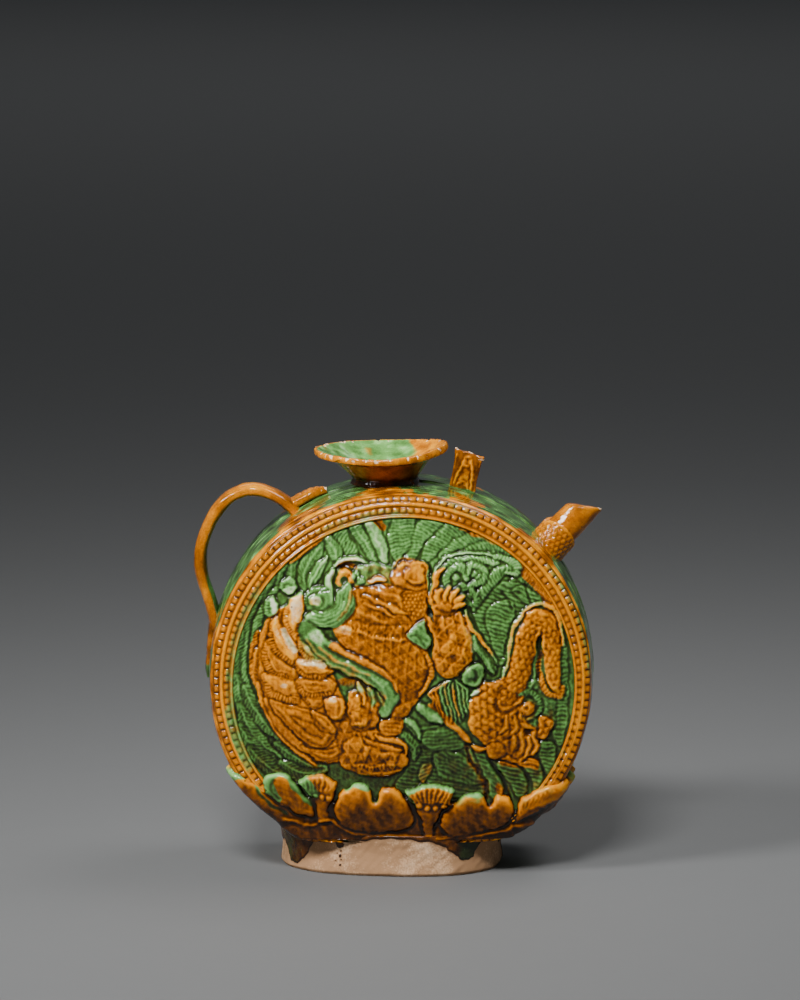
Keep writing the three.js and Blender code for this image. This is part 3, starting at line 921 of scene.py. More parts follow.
@dataclass(frozen=True)
class Creature:
    """The creature and leaves moulded on each face, in shares of the medallion's radius."""

    radius: float = 82.5
    step: float = 0.26
    field_share: float = 1.1
    ground: float = 0.1
    swell_soft: float = 2.2
    soft: float = 0.3

    def masses(self) -> tuple[Mass, ...]:
        """Swellings under the head, wing, belly, limbs and tail."""
        return (
            Mass(((-0.6, 0.14),), 22, 34, 1.6), Mass(((-0.5, -0.24),), 25, 21, 1.8),
            Mass(((-0.06, 0.5),), 24, 15, 2.0), Mass(((-0.1, 0.2),), 25, 22, 1.9),
            Mass(((0.31, 0.24),), 13, 21, 2.0), Mass(((0.28, 0.52),), 10, 12, 1.8),
            Mass(((-0.2, -0.4),), 24, 16, 1.5), Mass(((0.58, -0.2),), 17, 19, 1.7),
            Mass(((0.45, 0.64),), 20, 9, 1.0),
            Mass(path(-53, 31, -39, 17, -13, 6, -5, -4, -10, -20), 6, 6, 1.7),
            Mass(path(68, 0, 72, 22, 82, 38, 90, 20, 92, -5), 7, 7, 1.7),
            Mass(((-0.44, 0.45),), 13, 13, 1.3),
        )

    def leaves(self) -> list:
        """Leaves and feathers that fill the ground above and on the left."""
        fan = (
            (6.0, 0.45, -1.5, 76, -1, 87, 1, 94, 3, 101), (4.6, 0.6, 6, 76, 9, 86, 15, 93, 22, 99),
            (4.5, 0.6, 15, 75, 20, 83, 27, 90, 37, 95), (4.1, 0.7, 25, 76, 32, 83, 40, 88, 51, 90.5),
            (4.0, 0.7, 37, 78, 45, 82, 54, 84, 65, 81), (3.6, 0.8, 50, 77, 59, 77, 68, 74, 77, 68),
            (4.4, 0.8, 62, 69, 70, 67, 78, 61, 86, 53), (4.2, 0.8, 68, 60, 76, 57, 83, 50, 89, 42),
        )
        plume = dict(texture=Texture.COMB, pitch=1.75, depth=0.6, tip=1.0, rib=0.0)
        forms: list = [
            Strip(path(*spots), half, 0.75, root=root, slant=0.35, **plume)
            for half, root, *spots in reversed(fan)
        ]
        forms += [
            Strip(path(70, 71, 77, 63, 84, 54.5, 89, 45), 2.9, 0.9, Texture.COMB, 1.5, green=0.2,
                slant=0.6, root=1.0, tip=1.0, rib=0.0),
            Strip(path(-28, 76, -34, 85, -38, 93), 3.9, slant=0.5, **plume),
            Strip(((-0.15, 0.73), (-0.216, 0.85), (-0.3, 0.97)), 3.2, 0.95, Texture.COMB, 1.3, tip=1.0,
                rib=0.3),
            Strip(path(-9.5, 73.5, -13.3, 85, -20, 98), 3.4, 0.95, Texture.SMOOTH, tip=0.7, pale=0.5,
                rib=0.4),
            Strip(path(-37, 74, -41, 82, -45, 88), 3.6, pitch=1.5, tip=0.7, slant=0.5),
            Strip(path(-57, 56, -57, 67, -48, 83), 4.4, pitch=1.7, tip=0.6),
            Strip(path(-54.5, 57, -50, 66.7, -44, 75.5), 3.0, 1.1, Texture.STRIPES, 2.0, tip=0.3, pale=0.3),
            Strip(path(-65, 60, -65, 70, -61, 78), 3.0, pitch=1.5, tip=0.5),
            Strip(path(-74.5, 56, -72.5, 65.2, -68, 73), 2.9, pitch=1.4, tip=0.4),
            Strip(path(-82, 48, -79.5, 57.5, -75.5, 66.5), 2.8, pitch=1.4, tip=0.4),
            Strip(path(-86.5, 43, -85.5, 52, -83, 58), 2.0, pitch=1.3, green=0.4, tip=0.4),
            Strip(path(-66, 72, -52, 83, -40, 91.5, -33, 94), 1.5, 0.9, Texture.COMB, 1.4, green=0.0,
                tip=0.6),
            Wash(path(-14, 97, -11, 93), 2.6, green=0.1),
            Wash(path(35, 93, 45, 89, 56, 84), 1.5, green=0.35),
            Wash(path(72, 70, 83, 58, 90, 46), 2.6, green=0.15),
        ]
        rope = dict(texture=Texture.COMB, depth=0.75, root=0.7, tip=0.7, rib=0.0, slant=1.1)
        forms += [
            Strip(path(-74, 56, -81, 46, -85, 38, -86.5, 31, -89, 21), 2.4, pitch=1.8, green=0.75, **rope),
            Strip(path(-85, 30, -88, 20, -88.5, 10, -83, -2, -78, -10), 2.3, pitch=1.8, green=0.15, **rope),
            Strip(path(-83, 55, -88.5, 44, -92, 36, -94, 25, -95, 12, -93, 0, -90, -10), 2.8, pitch=1.9,
                **rope),
            Strip(path(-95, 30, -98, 16, -98.5, 2, -96, -10, -92, -20), 2.5, pitch=1.9, **rope),
        ]
        return forms

    def left_ground(self) -> list:
        """Long combed leaves at the lower left."""
        low = (
            (4.0, -98, 2, -96, -10, -91, -22, -83, -33), (4.2, -93, -4, -88, -16, -80, -27, -72, -36),
            (4.4, -96, -16, -91, -28, -83, -38, -72, -46),
            (4.4, -96, -28, -89, -40, -79, -49, -66, -55),
            (4.2, -90, -42, -82, -50, -70, -57, -54, -60),
            (3.4, -84, -12, -78, -22, -70, -32, -60, -41),
            (3.4, -74, -38, -65, -45, -55, -50, -44, -52),
            (3.4, -72, -49, -62, -55, -52, -56, -44, -53),
        )
        return [Strip(path(*spots), half, 0.8, depth=0.6, tip=0.3, rib=0.3) for half, *spots in low]

    def right_ground(self) -> list:
        """Combed ground, curls and the light arc on the right."""
        comb = dict(texture=Texture.COMB, pitch=2.0, depth=0.6, green=1.0, round=1.5)
        forms: list = [
            Lobe(path(42, 44, 46, 56, 58, 60, 70, 60, 80, 52, 76, 46, 70, 38, 66, 30, 62, 12, 55, 12, 50,
                24), 0.55, turn=74, **comb),
            Lobe(path(50, 40, 54, 48, 64, 50, 68, 42, 64, 30, 60, 16, 55, 20), 0.75, turn=72, **comb),
            Lobe(path(66, 56, 74, 58, 84, 50, 82, 45, 74, 47), 0.8, turn=66, **comb),
            Lobe(path(43, 30, 47, 27, 57, 12, 57, 7, 52, 7, 46, 17), 0.9, turn=55, **comb),
            Strip(path(18.5, 56, 19, 64, 22, 71, 28, 75.5, 37, 78, 47, 78, 56, 75.7, 60, 73.5), 0.9, 1.6,
                Texture.SMOOTH, pale=0.4, root=0.5, tip=0.5, rib=0.2),
            Strip(path(25, 70, 31, 73.5, 39, 74.5, 48, 74, 57, 71.5), 2.2, 1.2, Texture.COMB, 1.7, 0.9,
                slant=0.5, root=0.8, tip=0.8, rib=0.0),
            Strip(path(68, 70, 60, 66.5, 54, 62, 50, 56, 46, 50, 43, 45), 3.3, 1.3, Texture.COMB, 1.8, 0.8,
                root=0.8, tip=0.5, rib=0.0, slant=-0.4),
            Strip(path(27, 60, 28, 66, 33, 70, 38, 68, 39, 63), 2.6, 1.3, Texture.COMB, 1.5, 0.8, root=0.8,
                tip=0.7, rib=0.0, slant=0.5),
            Strip(path(35, 58, 41, 58, 46, 61, 49.5, 65.5, 47, 70, 42, 70.5, 40, 67), 2.4, 1.4,
                Texture.COMB, 1.5, 0.8, root=0.8, tip=0.8, rib=0.0, slant=-0.4),
            Boss((0.445, 0.655), 2.6, 0.9, 0.3, 1.0), Boss((0.33, 0.64), 2.0, 0.8, 0.3, 1.0),
            Strip(path(37, 59, 36, 54, 38.5, 49, 43, 48, 45, 52, 42, 56), 2.3, 1.2, Texture.COMB, 1.5, 0.8,
                root=0.8, tip=0.8, rib=0.0, slant=0.4),
            Strip(path(56, 75, 62, 74.5, 67, 72, 70, 68, 68, 65, 63, 66), 2.3, 1.3, Texture.COMB, 1.5, 0.8,
                root=0.6, tip=0.7, rib=0.0, slant=-0.4, pale=0.2),
            Boss((0.405, 0.525), 2.0, 0.7, 0.3, 1.0), Ridge(path(74, 60, 76, 50, 80, 42), 0.6, -0.9),
            Ridge(path(66, 44, 60, 56), 0.6, -0.8),
        ]
        return forms

    def wing(self) -> list:
        """Wing feathers that overlap with combed rims, and the long swirled feathers below them."""
        scale = dict(rim=3.0, round=4.5, texture=Texture.RINGS, pitch=3.2, depth=0.4)
        long = dict(texture=Texture.SMOOTH, green=0.0, root=0.4, tip=0.4, rib=0.0)
        leaf = dict(round=5.0, texture=Texture.RINGS, pitch=3.6, depth=0.45)
        # The pale marks on the wing's crescents, and the pale washes over them, are partly thin glaze and
        # partly painted highlights.
        forms: list = [
            Lobe(path(-84, 30, -87, 10, -85, -10, -77, -27, -65, -41, -50, -49, -34, -47, -28, -30, -33,
                -10, -42, 10, -55, 20, -60, 44, -68, 48, -79, 40), 0.9, 5.0),
            Strip(path(-85.5, 20, -88, 10, -87, 0, -83, -10), 2.2, 0.9, Texture.BARBS, 1.5, 0.6, green=0.2,
                root=0.4, tip=0.4),
            Strip(path(-86, 0, -82, -14, -74, -29, -63, -41, -51, -50), 2.2, 1.2, **long),
            Strip(path(-81, -10, -74, -23, -65, -34, -52, -45), 2.6, 1.35, **long),
            Lobe(path(-60, -38, -50, -40, -40, -39, -31, -33, -30, -38, -38, -46, -50, -48), 1.5, **leaf),
            Lobe(path(-79, -10, -70, -12, -60, -14, -50, -18, -42, -24, -39, -31, -42, -37, -48, -39.5,
                -57, -36.5, -66, -29, -74, -20), 1.7, **leaf),
            Lobe(path(-54, -15, -46, -19, -40, -24, -39, -30, -45, -29, -52, -23), 2.0, **leaf),
            Lobe(path(-83, 5, -82, -3, -79, -9, -71.5, -12, -62, -12.5, -60, -5, -63, 5, -73, 8), 1.5, 4.5,
                Texture.RINGS, 3.2, 0.25, pale=0.25, rim=4.4, outer=250),
            Lobe(path(-79, 28, -83, 19, -82, 10.5, -77.5, 5, -71, 3, -62, 2.5, -60, 10, -68, 14, -74, 22),
                1.7, **scale),
            Lobe(((-0.735, 0.4), (-0.785, 0.35), (-0.8, 0.28), (-0.775, 0.2), (-0.72, 0.145),
                (-0.66, 0.108), (-0.62, 0.1), (-0.61, 0.2), (-0.66, 0.24), (-0.7, 0.32)), 1.9, pale=0.6,
                **scale),
            Wash(path(-70, 33, -67, 25, -63, 20), 1.8, green=0.5, pale=1.0),
            Lobe(path(-58, 54.5, -65, 51.5, -70, 45, -70.5, 37.5, -67.5, 30, -62.5, 25, -59, 30, -57.5,
                42), 2.1, pale=0.95, **scale),
            Lobe(path(-80.5, 50, -82, 44, -80, 40, -75, 40, -72.5, 46, -75, 52), 1.6, 3.0, rim=2.7,
                outer=190, green=0.8, pale=1.0),
            Lobe(path(-73.5, 57, -71, 61.5, -66, 63, -62, 60, -62, 54.5, -67, 52.5), 1.6, 3.0, rim=2.7,
                outer=110, green=0.9, pale=0.8),
            Wash(path(-70, 47, -66, 51.5, -58, 55), 1.6, green=0.9),
            Lobe(path(-59, -7, -57, -12, -52.5, -15.8, -48, -14, -44, -8, -50, -5), 1.6,
                **{**scale, "rim": 1.6}),
            Lobe(path(-63, 3, -61, -5, -56, -8.5, -48, -9, -41, -6, -38, 1, -50, 6), 1.8, outer=260,
                **scale),
            Lobe(path(-63, 14, -63, 8.5, -59, 4.2, -52, 2.5, -44, 3.5, -39, 8, -45, 13, -55, 16), 2.0,
                pale=0.35, outer=265, **scale),
            Lobe(path(-61, 29, -62, 21, -58, 15.5, -52, 13.2, -45, 13, -44, 18, -50, 25, -56, 31), 2.1,
                green=0.45, pale=0.9, **scale),
            Wash(path(-60, 14, -53, 13, -46, 12), 2.2, green=0.45, pale=1.0),
            Lobe(path(-46, -9, -41, -7, -35, -8.5, -32, -15, -34, -21, -40, -22, -44.5, -18), 2.2, 6.0,
                Texture.FOLDS, 5.0, 0.3),
            Ridge(path(-42, -20, -37, -19, -33.5, -15), 0.8, 0.5),
            Ridge(path(-40, -9, -36.5, -13, -37, -20), 0.8, -0.4),
            # Two small pale spots, painted highlights.
            Wash(path(-42, -9, -40, -10), 1.6, pale=0.9), Wash(path(-71, -1, -69, -1), 1.5, pale=0.9),
        ]
        return forms

    def tail(self) -> list:
        """Scaled tail that loops over, the coiled hind part and its ribs."""
        stem = dict(texture=Texture.SMOOTH, green=0.0, pale=0.15)
        return [
            Lobe(path(97, 30, 100, 10, 100, -20, 96, -40, 91, -30, 93, 0), 0.5, 1.5, Texture.COMB, 2.2,
                turn=90, green=1.0),
            Lobe(path(70, -2, 80, 2, 90, -5, 93, -20, 88, -34, 76, -30, 68, -18), 0.6, 2.0, Texture.SCALES,
                2.8, green=0.7),
            Lobe(path(46, 0, 56, 2, 66, 6, 75, 0, 73, -14, 76, -24, 82, -30, 82, -42, 70, -49, 58, -47, 50,
                -38, 41, -28, 40, -14), 1.2, 4.0, Texture.SCALES, 3.8, 0.8, turn=-60),
            Strip(path(62, -12, 68, 0, 71.5, 10, 73.5, 20, 76, 30, 81, 37.5, 86.5, 36.5, 89.5, 27, 90.5,
                12, 91, 2, 94, -6), 5.8, 1.6, Texture.SCALES, 3.0, 0.75, green=0.0, root=1.0, tip=0.5,
                rib=0.0),
            Ridge(path(83, 34, 80.5, 24, 80, 12, 79, 2, 75, -8, 67, -13), 0.6, 0.8),
            Ridge(path(85, 30, 84.5, 15, 87, 2, 92, -5), 0.6, 0.7),
            Strip(path(60, 3, 63.5, 12, 65, 24, 68, 35, 74.5, 43, 82, 47.5, 90, 45, 95, 36, 96.5, 22), 1.5,
                1.2, Texture.COMB, 1.5, 0.7, green=0.35, pale=0.4, root=0.7, tip=0.7, slant=0.6, rib=0.0),
            Strip(path(83, 20, 82.5, 8, 85, -2, 89, -8, 95, -9, 97, -3), 2.0, 1.0, Texture.COMB, 1.7, 0.7,
                green=0.25, root=0.5, tip=0.7, slant=0.4, rib=0.0),
            Boss((0.765, -0.17), 5.6, 0.4, 0.5, 0.55), Boss((0.755, -0.16), 3.4, 0.5, 0.5, 0.1),
            Boss((0.75, -0.155), 1.3, -0.6),
            Strip(path(70, -8, 76, -6, 81, -9, 83, -15, 81, -21), 1.9, 1.0, Texture.COMB, 1.5, 0.7,
                green=0.85, root=0.6, tip=0.6, rib=0.0),
            Lobe(path(82, -22, 87, -21, 91, -24, 90, -31, 86, -36, 82, -34), 1.2, 3.0, Texture.SCALES, 3.4,
                0.8, turn=-80, green=0.1),
            Strip(path(66, -44, 68, -36, 66, -30), 1.9, 1.0, tip=0.5, **stem),
            Strip(path(70, -46, 73, -38, 71, -31), 1.9, 1.0, tip=0.5, **stem),
            Strip(path(74, -46, 77, -39, 76, -32), 1.8, 1.0, tip=0.5, **stem),
            Strip(path(79, -45, 81, -39, 79, -33), 1.8, 1.0, tip=0.5, **stem),
            Lobe(path(50, -40, 54, -36, 60, -37, 63, -42, 58, -47, 52, -46), 1.7, 3.5, Texture.DOTS, 2.2,
                0.3),
            Strip(path(58, -30, 63, -26, 63, -20), 1.8, 0.9, tip=0.5, **stem),
            Strip(path(65, -32, 69, -27, 68, -20), 1.8, 0.9, tip=0.5, **stem),
            Boss((0.755, -0.305), 2.4, -1.6), Ridge(path(70, -25, 74, -29, 80, -29), 0.7, -0.9),
            Ridge(path(82.5, 28, 82.5, 10, 81.5, 0), 0.9, -1.1),
        ]

    def low_leaves(self) -> list:
        """Fins, spikes and combed ground below the middle."""
        comb = dict(texture=Texture.COMB, pitch=2.0, depth=0.6, green=1.0, round=1.5)
        forms: list = [
            Lobe(path(8, -28, 20, -25, 36, -28, 42, -40, 50, -55, 50, -70, 20, -70, -4, -66, 4, -50, 6,
                -38), 0.5, turn=82, **comb),
            Lobe(path(12, -30, 24, -27, 36, -30, 38, -39, 26, -42, 14, -38), 0.7, turn=95, **comb),
            Lobe(path(20, -43, 34, -42, 46, -53, 50, -62, 36, -62, 22, -56), 0.75, turn=68, **comb),
            Lobe(path(12, -50, 18, -48, 18, -56, 13, -62, 10, -57), 0.85, 1.5, Texture.COMB, 2.0, 0.6,
                turn=120, green=0.7),
            Lobe(path(43, -40, 50, -43, 55, -52, 60, -60, 62, -70, 55, -72, 49, -56), 0.85, turn=66,
                **comb),
            Lobe(path(57, -50, 66, -49, 74, -56, 76, -68, 70, -72, 64, -62), 0.85, turn=74, **comb),
            Lobe(path(66, -47, 76, -46, 84, -50, 85, -62, 80, -68, 76, -56), 0.85, turn=78, **comb),
            Lobe(path(82, -38, 91, -37, 93, -48, 88, -58, 84, -50), 0.8, turn=84, **comb),
            Wash(path(62, -48, 72, -49, 80, -50), 2.8, green=0.1),
            Wash(path(58.5, -64, 60, -68), 1.8, green=0.2),
            Strip(path(17, -13, 27, -22, 36, -30, 41, -36), 2.5, 1.1, Texture.SMOOTH, green=0.2, tip=0.5),
            Ridge(path(39, -36, 42, -48, 49, -60, 52, -72), 0.8, -0.9, green=0.5),
            Ridge(path(51, -46, 59, -56, 63, -66, 66, -72), 0.7, -0.9),
            Strip(path(43, -38.5, 47, -40, 50, -40), 2.2, 1.2, Texture.SMOOTH, green=0.0, tip=0.6),
            Strip(path(-2, -29, 3, -33, 8, -40, 8, -48), 3.6, 0.9, Texture.COMB, slant=0.6),
            Strip(path(0, -21, 6, -24.5, 10, -30, 12, -35), 2.8, 1.2, Texture.SMOOTH, pale=0.3, root=0.2),
            Strip(path(11, -13, 15, -17, 20, -20, 24, -23.5), 3.4, 1.5, Texture.SMOOTH, pale=0.4, tip=0.5),
            Ridge(path(2, -23, 8, -29, 13, -37), 0.7, -1.0),
        ]
        top = (0.31, 0.03)
        spikes = (
            (0.0, 17, -5, 21, -16), (0.05, 19, -4, 23.5, -19), (0.0, 21, -3, 25.5, -21),
            (1.0, 23.5, -3, 28, -23), (0.2, 26, -2, 30.5, -24), (0.9, 28.5, -2, 33, -25),
            (0.1, 31, -2, 35.5, -24), (1.0, 33.5, -2, 37.5, -22), (0.5, 36, -2, 39, -20),
            (0.8, 38.5, -3, 40.5, -17),
        )
        spike = dict(half=1.15, lift=1.2, texture=Texture.SMOOTH, root=0.3, tip=0.4, rib=0.2)
        for green, *spots in spikes:
            start, end = path(*spots)
            middle = ((start[0] + end[0]) / 2, (start[1] + end[1]) / 2)
            forms.append(Strip((top, start, middle, end), green=green, **spike))
        return forms

    def body(self) -> list:
        """Neck and belly, trunk and paw, legs and feet."""
        amber = dict(green=0.0, texture=Texture.SMOOTH)
        forms: list = [
            Lobe(path(-42, 34, -37, 42, -25, 46, 4, 44, 15, 40, 17, 20, 16, 4, 12, -5, 9, -13, 3, -20, -6,
                -21, -7, -12, -4, -3, -10, 9, -25, 17, -36, 24), 1.3, 5.0, Texture.TRIANGLES, 4.6, 0.42,
                turn=-68),
            Ridge(path(-37, 34.5, -26, 32, -14, 28.5, -2, 27, 2, 28), 0.6, 0.6, teeth=1.8),
            Wash(path(-37, 34, -31, 32), 2.2, pale=0.8),
            Strip(path(13, 22, 17, 15, 18, 7, 15.5, -1, 10, -7), 1.8, 1.5, Texture.COMB, 1.9, 0.6,
                green=0.1, root=0.7, tip=0.5, rib=0.0),
            Strip(path(12, 43, 17, 37, 21, 31, 23.5, 27), 2.0, 1.5, root=0.6, tip=0.3, rib=0.0, **amber),
            Lobe(path(19, 44, 27, 48, 36, 44, 41, 34, 43, 22, 42, 12, 36, 6, 28, 3, 21, 8, 18, 20, 19, 32),
                1.4, 6.0, Texture.TRIANGLES, 5.4, 0.6, turn=75),
            Ridge(path(20, 40, 24, 30, 23, 18, 26, 9), 1.3, -0.4),
            Ridge(path(36, 42, 39, 30, 38, 20, 40, 11), 0.9, 0.5), Boss((0.27, 0.22), 4.6, 0.8),
            Boss((0.34, 0.32), 4.4, 0.7), Boss((0.36, 0.18), 4.0, 0.7), Boss((0.27, 0.36), 4.0, 0.6),
            Boss((0.24, 0.13), 3.6, 0.6), Boss((0.32, 0.1), 3.4, 0.5),
            Strip(path(38, 44, 41, 35, 46, 28, 53, 20, 58.5, 10), 1.3, 1.4, Texture.SMOOTH, green=0.15,
                pale=0.2, tip=0.3),
            Strip(path(43, 29, 47, 20, 52, 12, 55, 6), 2.6, 1.1, Texture.COMB, 1.6, 0.7, slant=1.0,
                root=0.3, tip=0.4, rib=0.3),
            Wash(path(40, 34, 43, 20), 1.6, pale=0.7), Wash(path(30, 32, 29, 27), 1.4, pale=0.4),
            Lobe(path(19, 42, 18, 50, 21, 55, 28, 57, 34, 54, 36, 48, 33, 43, 26, 41), 1.7, 6.0,
                Texture.FOLDS, 4.0, 0.25),
            Strip(path(18.5, 50, 18, 57, 20.5, 64, 25, 69), 2.9, 1.7, Texture.COMB, 1.7, 0.4, green=0.0,
                root=0.8, tip=0.5, rib=0.3),
        ]
        fingers = (
            path(22, 50, 21.5, 54.5, 23.5, 57.5), path(26, 51, 26.5, 55, 28.5, 58),
            path(30, 50.5, 31.2, 54.5, 33.5, 56.5), path(32.5, 49, 35, 51.5, 36.8, 52.5),
            ((0.32, 0.46), (0.35, 0.475), (0.372, 0.475)),
        )
        forms += [Strip(finger, 2.0, 2.5, root=0.7, tip=0.8, rib=0.0, **amber) for finger in fingers]
        soft = dict(texture=Texture.TRIANGLES, pitch=5.4, depth=0.55)
        forms += [
            Ridge(path(20, 46, 27, 44, 34, 45), 0.8, -0.5),
            Wash(path(20, 50, 27, 53, 34, 51), 3.5, pale=0.35),
            Lobe(path(-38, -28, -37, -40, -36, -50, -25, -56, -10, -57, 2, -52, 3, -42, -2, -34, -5, -30,
                -14, -26, -16, -10, -28, -10), 1.1, 6.0, turn=-85, **soft),
            Boss((-0.27, -0.4), 6.5, 1.0), Boss((-0.16, -0.42), 6.0, 0.9), Boss((-0.05, -0.44), 5.0, 0.9),
            Ridge(path(-26, -49, -14, -50, 0, -48.5), 0.7, 0.5, teeth=-2.6),
            Ridge(path(-30, -47, -22, -53, -10, -55, 2, -52), 0.8, 0.4),
            Lobe(path(-31, -4, -20, -4, -12, -10, -12, -20, -17, -27, -27, -28, -32, -17), 1.5, 4.5,
                Texture.SCALES, 4.0, 0.5, turn=-60, green=0.12),
            Boss((-0.24, -0.2), 5.0, 1.0), Boss((-0.17, -0.12), 4.4, 0.8), Boss((-0.26, -0.11), 4.0, 0.7),
            Ridge(path(-30, -25, -24, -23, -19, -25), 0.7, 0.5, teeth=1.6),
            Strip(path(-25, 0, -22, -6, -23, -13), 2.2, 1.9, Texture.STRIPES, 1.6, green=0.3, pale=0.5),
            Strip(path(-19, -2, -16.5, -9, -18, -16), 2.2, 1.9, Texture.STRIPES, 1.6, green=0.6, pale=0.2),
            Strip(path(-14, -5, -11.5, -12, -13, -19), 1.9, 1.7, Texture.STRIPES, 1.6, green=0.75),
            Lobe(path(-14, -24, -8, -20, 0, -20, 2, -25, -2, -32, -10, -33), 0.9, 2.5, Texture.COMB, 2.2,
                0.4, turn=84),
            Strip(path(-15, -30, -10, -34, -4, -34, 2, -37, 3, -43), 1.9, 1.7, root=0.4, tip=0.5, rib=0.0,
                **amber),
            Strip(path(-22, -33, -14, -37, -6, -38.5, 0, -41), 1.7, 1.6, root=0.4, tip=0.5, rib=0.0,
                **amber),
            Lobe(path(0, -42, 5, -45, 4.5, -50, 0, -52, -3, -48), 1.3, 2.4),
            Wash(path(-30, 2, -24, 0), 5.0, green=0.55), Wash(path(-35, 2, -28, 3), 3.0, green=0.35),
        ]
        return forms

    def head(self) -> list:
        """Head with its eye, brow, snout, jaw and beard, the ear's curl and the long band."""
        amber = dict(green=0.0, texture=Texture.SMOOTH)
        return [
            Lobe(path(-40, 42, -33, 54, -26, 59, -15, 60, 0, 64, 14, 62, 16, 50, 14, 40, -5, 36, -25, 38),
                1.3, 4.0, Texture.FOLDS, 4.0, 0.35, turn=-25),
            Strip(path(-22, 53.5, -10, 49, 2, 43, 6, 40), 1.8, 1.6, **amber),
            Strip(path(-22, 49, -10, 44.5, 0, 40), 1.4, 1.4, **amber),
            Ridge(path(-30, 47, -20, 42, -8, 37), 0.8, 0.5), Ridge(path(-16, 56, -6, 54, 2, 50), 0.8, 0.5),
            Lobe(path(0, 54, 6, 57, 14, 54, 15, 44, 8, 39, 2, 43), 1.5, 3.0, Texture.DOTS, 1.9, 0.7),
            Lobe(path(-30, 58, -30, 67, -22, 72, -10, 72, -3, 68, -4, 60, -15, 60), 1.5, 3.5,
                Texture.FOLDS, 2.6, 0.5, green=0.6, turn=20),
            Strip(path(-18, 62, -14, 63.5, -8, 62), 2.0, 2.0, Texture.SMOOTH, green=0.0, pale=0.9),
            Lobe(path(-6, 62, -5, 69, 1, 73, 8, 74.5, 14, 72, 16, 65, 15, 57, 6, 57, -1, 58), 1.6, 5.0,
                Texture.FOLDS, 5.0, 0.35, turn=20),
            Boss((0.095, 0.67), 5.6, 0.9, 0.35, 0.0, 0.25), Boss((0.0, 0.655), 4.6, 0.8, 0.0, 0.0),
            Ridge(path(-3, 70, 4, 72, 10, 73.5), 0.7, 0.6, teeth=1.4, green=0.35),
            Ridge(path(3, 69, 3, 64, 7, 61, 13, 61), 0.7, 0.6),
            Ridge(path(-6, 70, 0, 73.5, 8, 74.5, 13, 72), 0.6, 0.7, teeth=1.4, green=0.3),
            Strip(path(13, 73, 16, 68, 16.5, 61, 15, 55), 1.5, 1.4, Texture.COMB, 1.5, green=0.2),
            Ridge(path(17, 70, 17.5, 62, 16.5, 54), 0.8, -1.2, green=0.9),
            Strip(path(-40, 70, -34, 73.5, -26, 74.5, -19, 72), 1.9, 2.0, Texture.STRIPES, 1.6, green=0.55,
                pale=0.6, root=0.3),
            Ridge(path(-38, 70, -32, 70.8, -25, 70.5), 0.6, -0.8, green=0.0),
            Strip(path(-42, 52, -43, 60, -41, 67), 3.0, 1.6, Texture.SMOOTH, pale=0.7, root=0.5, tip=0.5),
            Boss((-0.335, 0.63), 5.0, 1.2, 0.8, 0.25, 0.3),
            Ridge(path(-36, 66, -32, 67, -29.5, 64, -31, 60), 0.6, 0.8, green=0.0),
            Boss((-0.34, 0.62), 2.2, -1.5, 0.0, 1.0), Boss((-0.27, 0.65), 2.4, 0.9, 0.5, 1.0),
            Boss((-0.24, 0.62), 2.2, 0.8, 0.5, 1.0),
            Lobe(path(-58, 50, -56, 55, -51, 58.5, -44, 58, -40, 54, -40, 47, -46, 43, -56, 43.5), 1.6,
                3.5, rim=2.4, outer=130, green=0.95),
            Lobe(((-0.55, 0.475), (-0.548, 0.52), (-0.52, 0.545), (-0.48, 0.54), (-0.46, 0.505),
                (-0.475, 0.47), (-0.51, 0.455)), 1.8, 2.5, green=0.5, pale=0.9),
            Boss((-0.495, 0.495), 1.7, -0.8),
            Strip(path(-32, 58, -33, 50, -37, 43, -45, 39, -54, 40), 5.8, 2.1, Texture.STRIPES, 1.7, 0.45,
                pale=0.25, root=0.5, tip=0.55, rib=0.0),
            Wash(path(-30, 56, -32, 46, -37, 39), 1.6, green=0.5),
            Strip(path(-56, 33, -51, 26.5, -44, 20, -35, 14.5, -24, 10, -14, 4.5, -7.5, -2, -6, -9, -10,
                -18), 6.0, 1.9, Texture.SMOOTH, pale=0.1, root=0.8, tip=0.4, rib=0.0),
            Wash(path(-52, 30, -49, 27), 3.2, pale=0.8),
            Ridge(path(-50, 33, -44, 26.5, -36, 20.5, -25, 16, -14, 11, -5, 4.5, -1, -4), 1.1, 0.7),
            Ridge(path(-57, 29, -51, 20, -42, 12.5, -30, 7, -19, 1, -12, -6, -10, -14), 0.8, 0.6,
                green=0.45),
            Ridge(path(-45, 23.5, -36, 17, -25, 12, -14, 6.5, -6, 0, -3, -7), 1.0, -0.7),
            Ridge(path(-50, 24, -40, 15.5, -28, 10, -17, 4.5, -10, -2, -8, -9), 0.7, 0.4, green=0.3),
            Wash(path(-40, 23, -28, 17, -16, 11.5, -7, 5.5, -2, -2), 2.3, green=0.0),
            Wash(path(-16, 4, -10, 1, -6, -4), 2.4, green=1.0, pale=0.25), Boss((0.17, 0.435), 2.2, -1.5),
        ]

    def lozenges(self) -> list:
        """Green lobed leaves that stand over the body."""
        return [
            Lobe(path(3, 30, 7, 35, 10, 38, 14, 40, 15.5, 34, 18, 28, 16.5, 22, 15, 20.5, 8, 25), 2.2, 3.0,
                Texture.STRIPES, 3.0, 0.4, green=1.0, turn=-35),
            Ridge(path(5, 30, 10, 29, 15, 22), 0.6, -0.5),
            Lobe(((0.36, 0.059), (0.405, 0.113), (0.458, 0.132), (0.496, 0.105), (0.5, 0.044),
                (0.466, -0.01), (0.42, -0.022), (0.367, 0.006)), 2.3, 2.6, green=1.0),
            Boss((0.43, 0.07), 3.4, 0.5), Ridge(path(43, 10, 45, 6, 44, 0), 0.9, -0.7),
            Strip(path(42, -7, 45, -4.5, 48, -4), 1.8, 1.4, Texture.SMOOTH, pale=0.9),
        ]

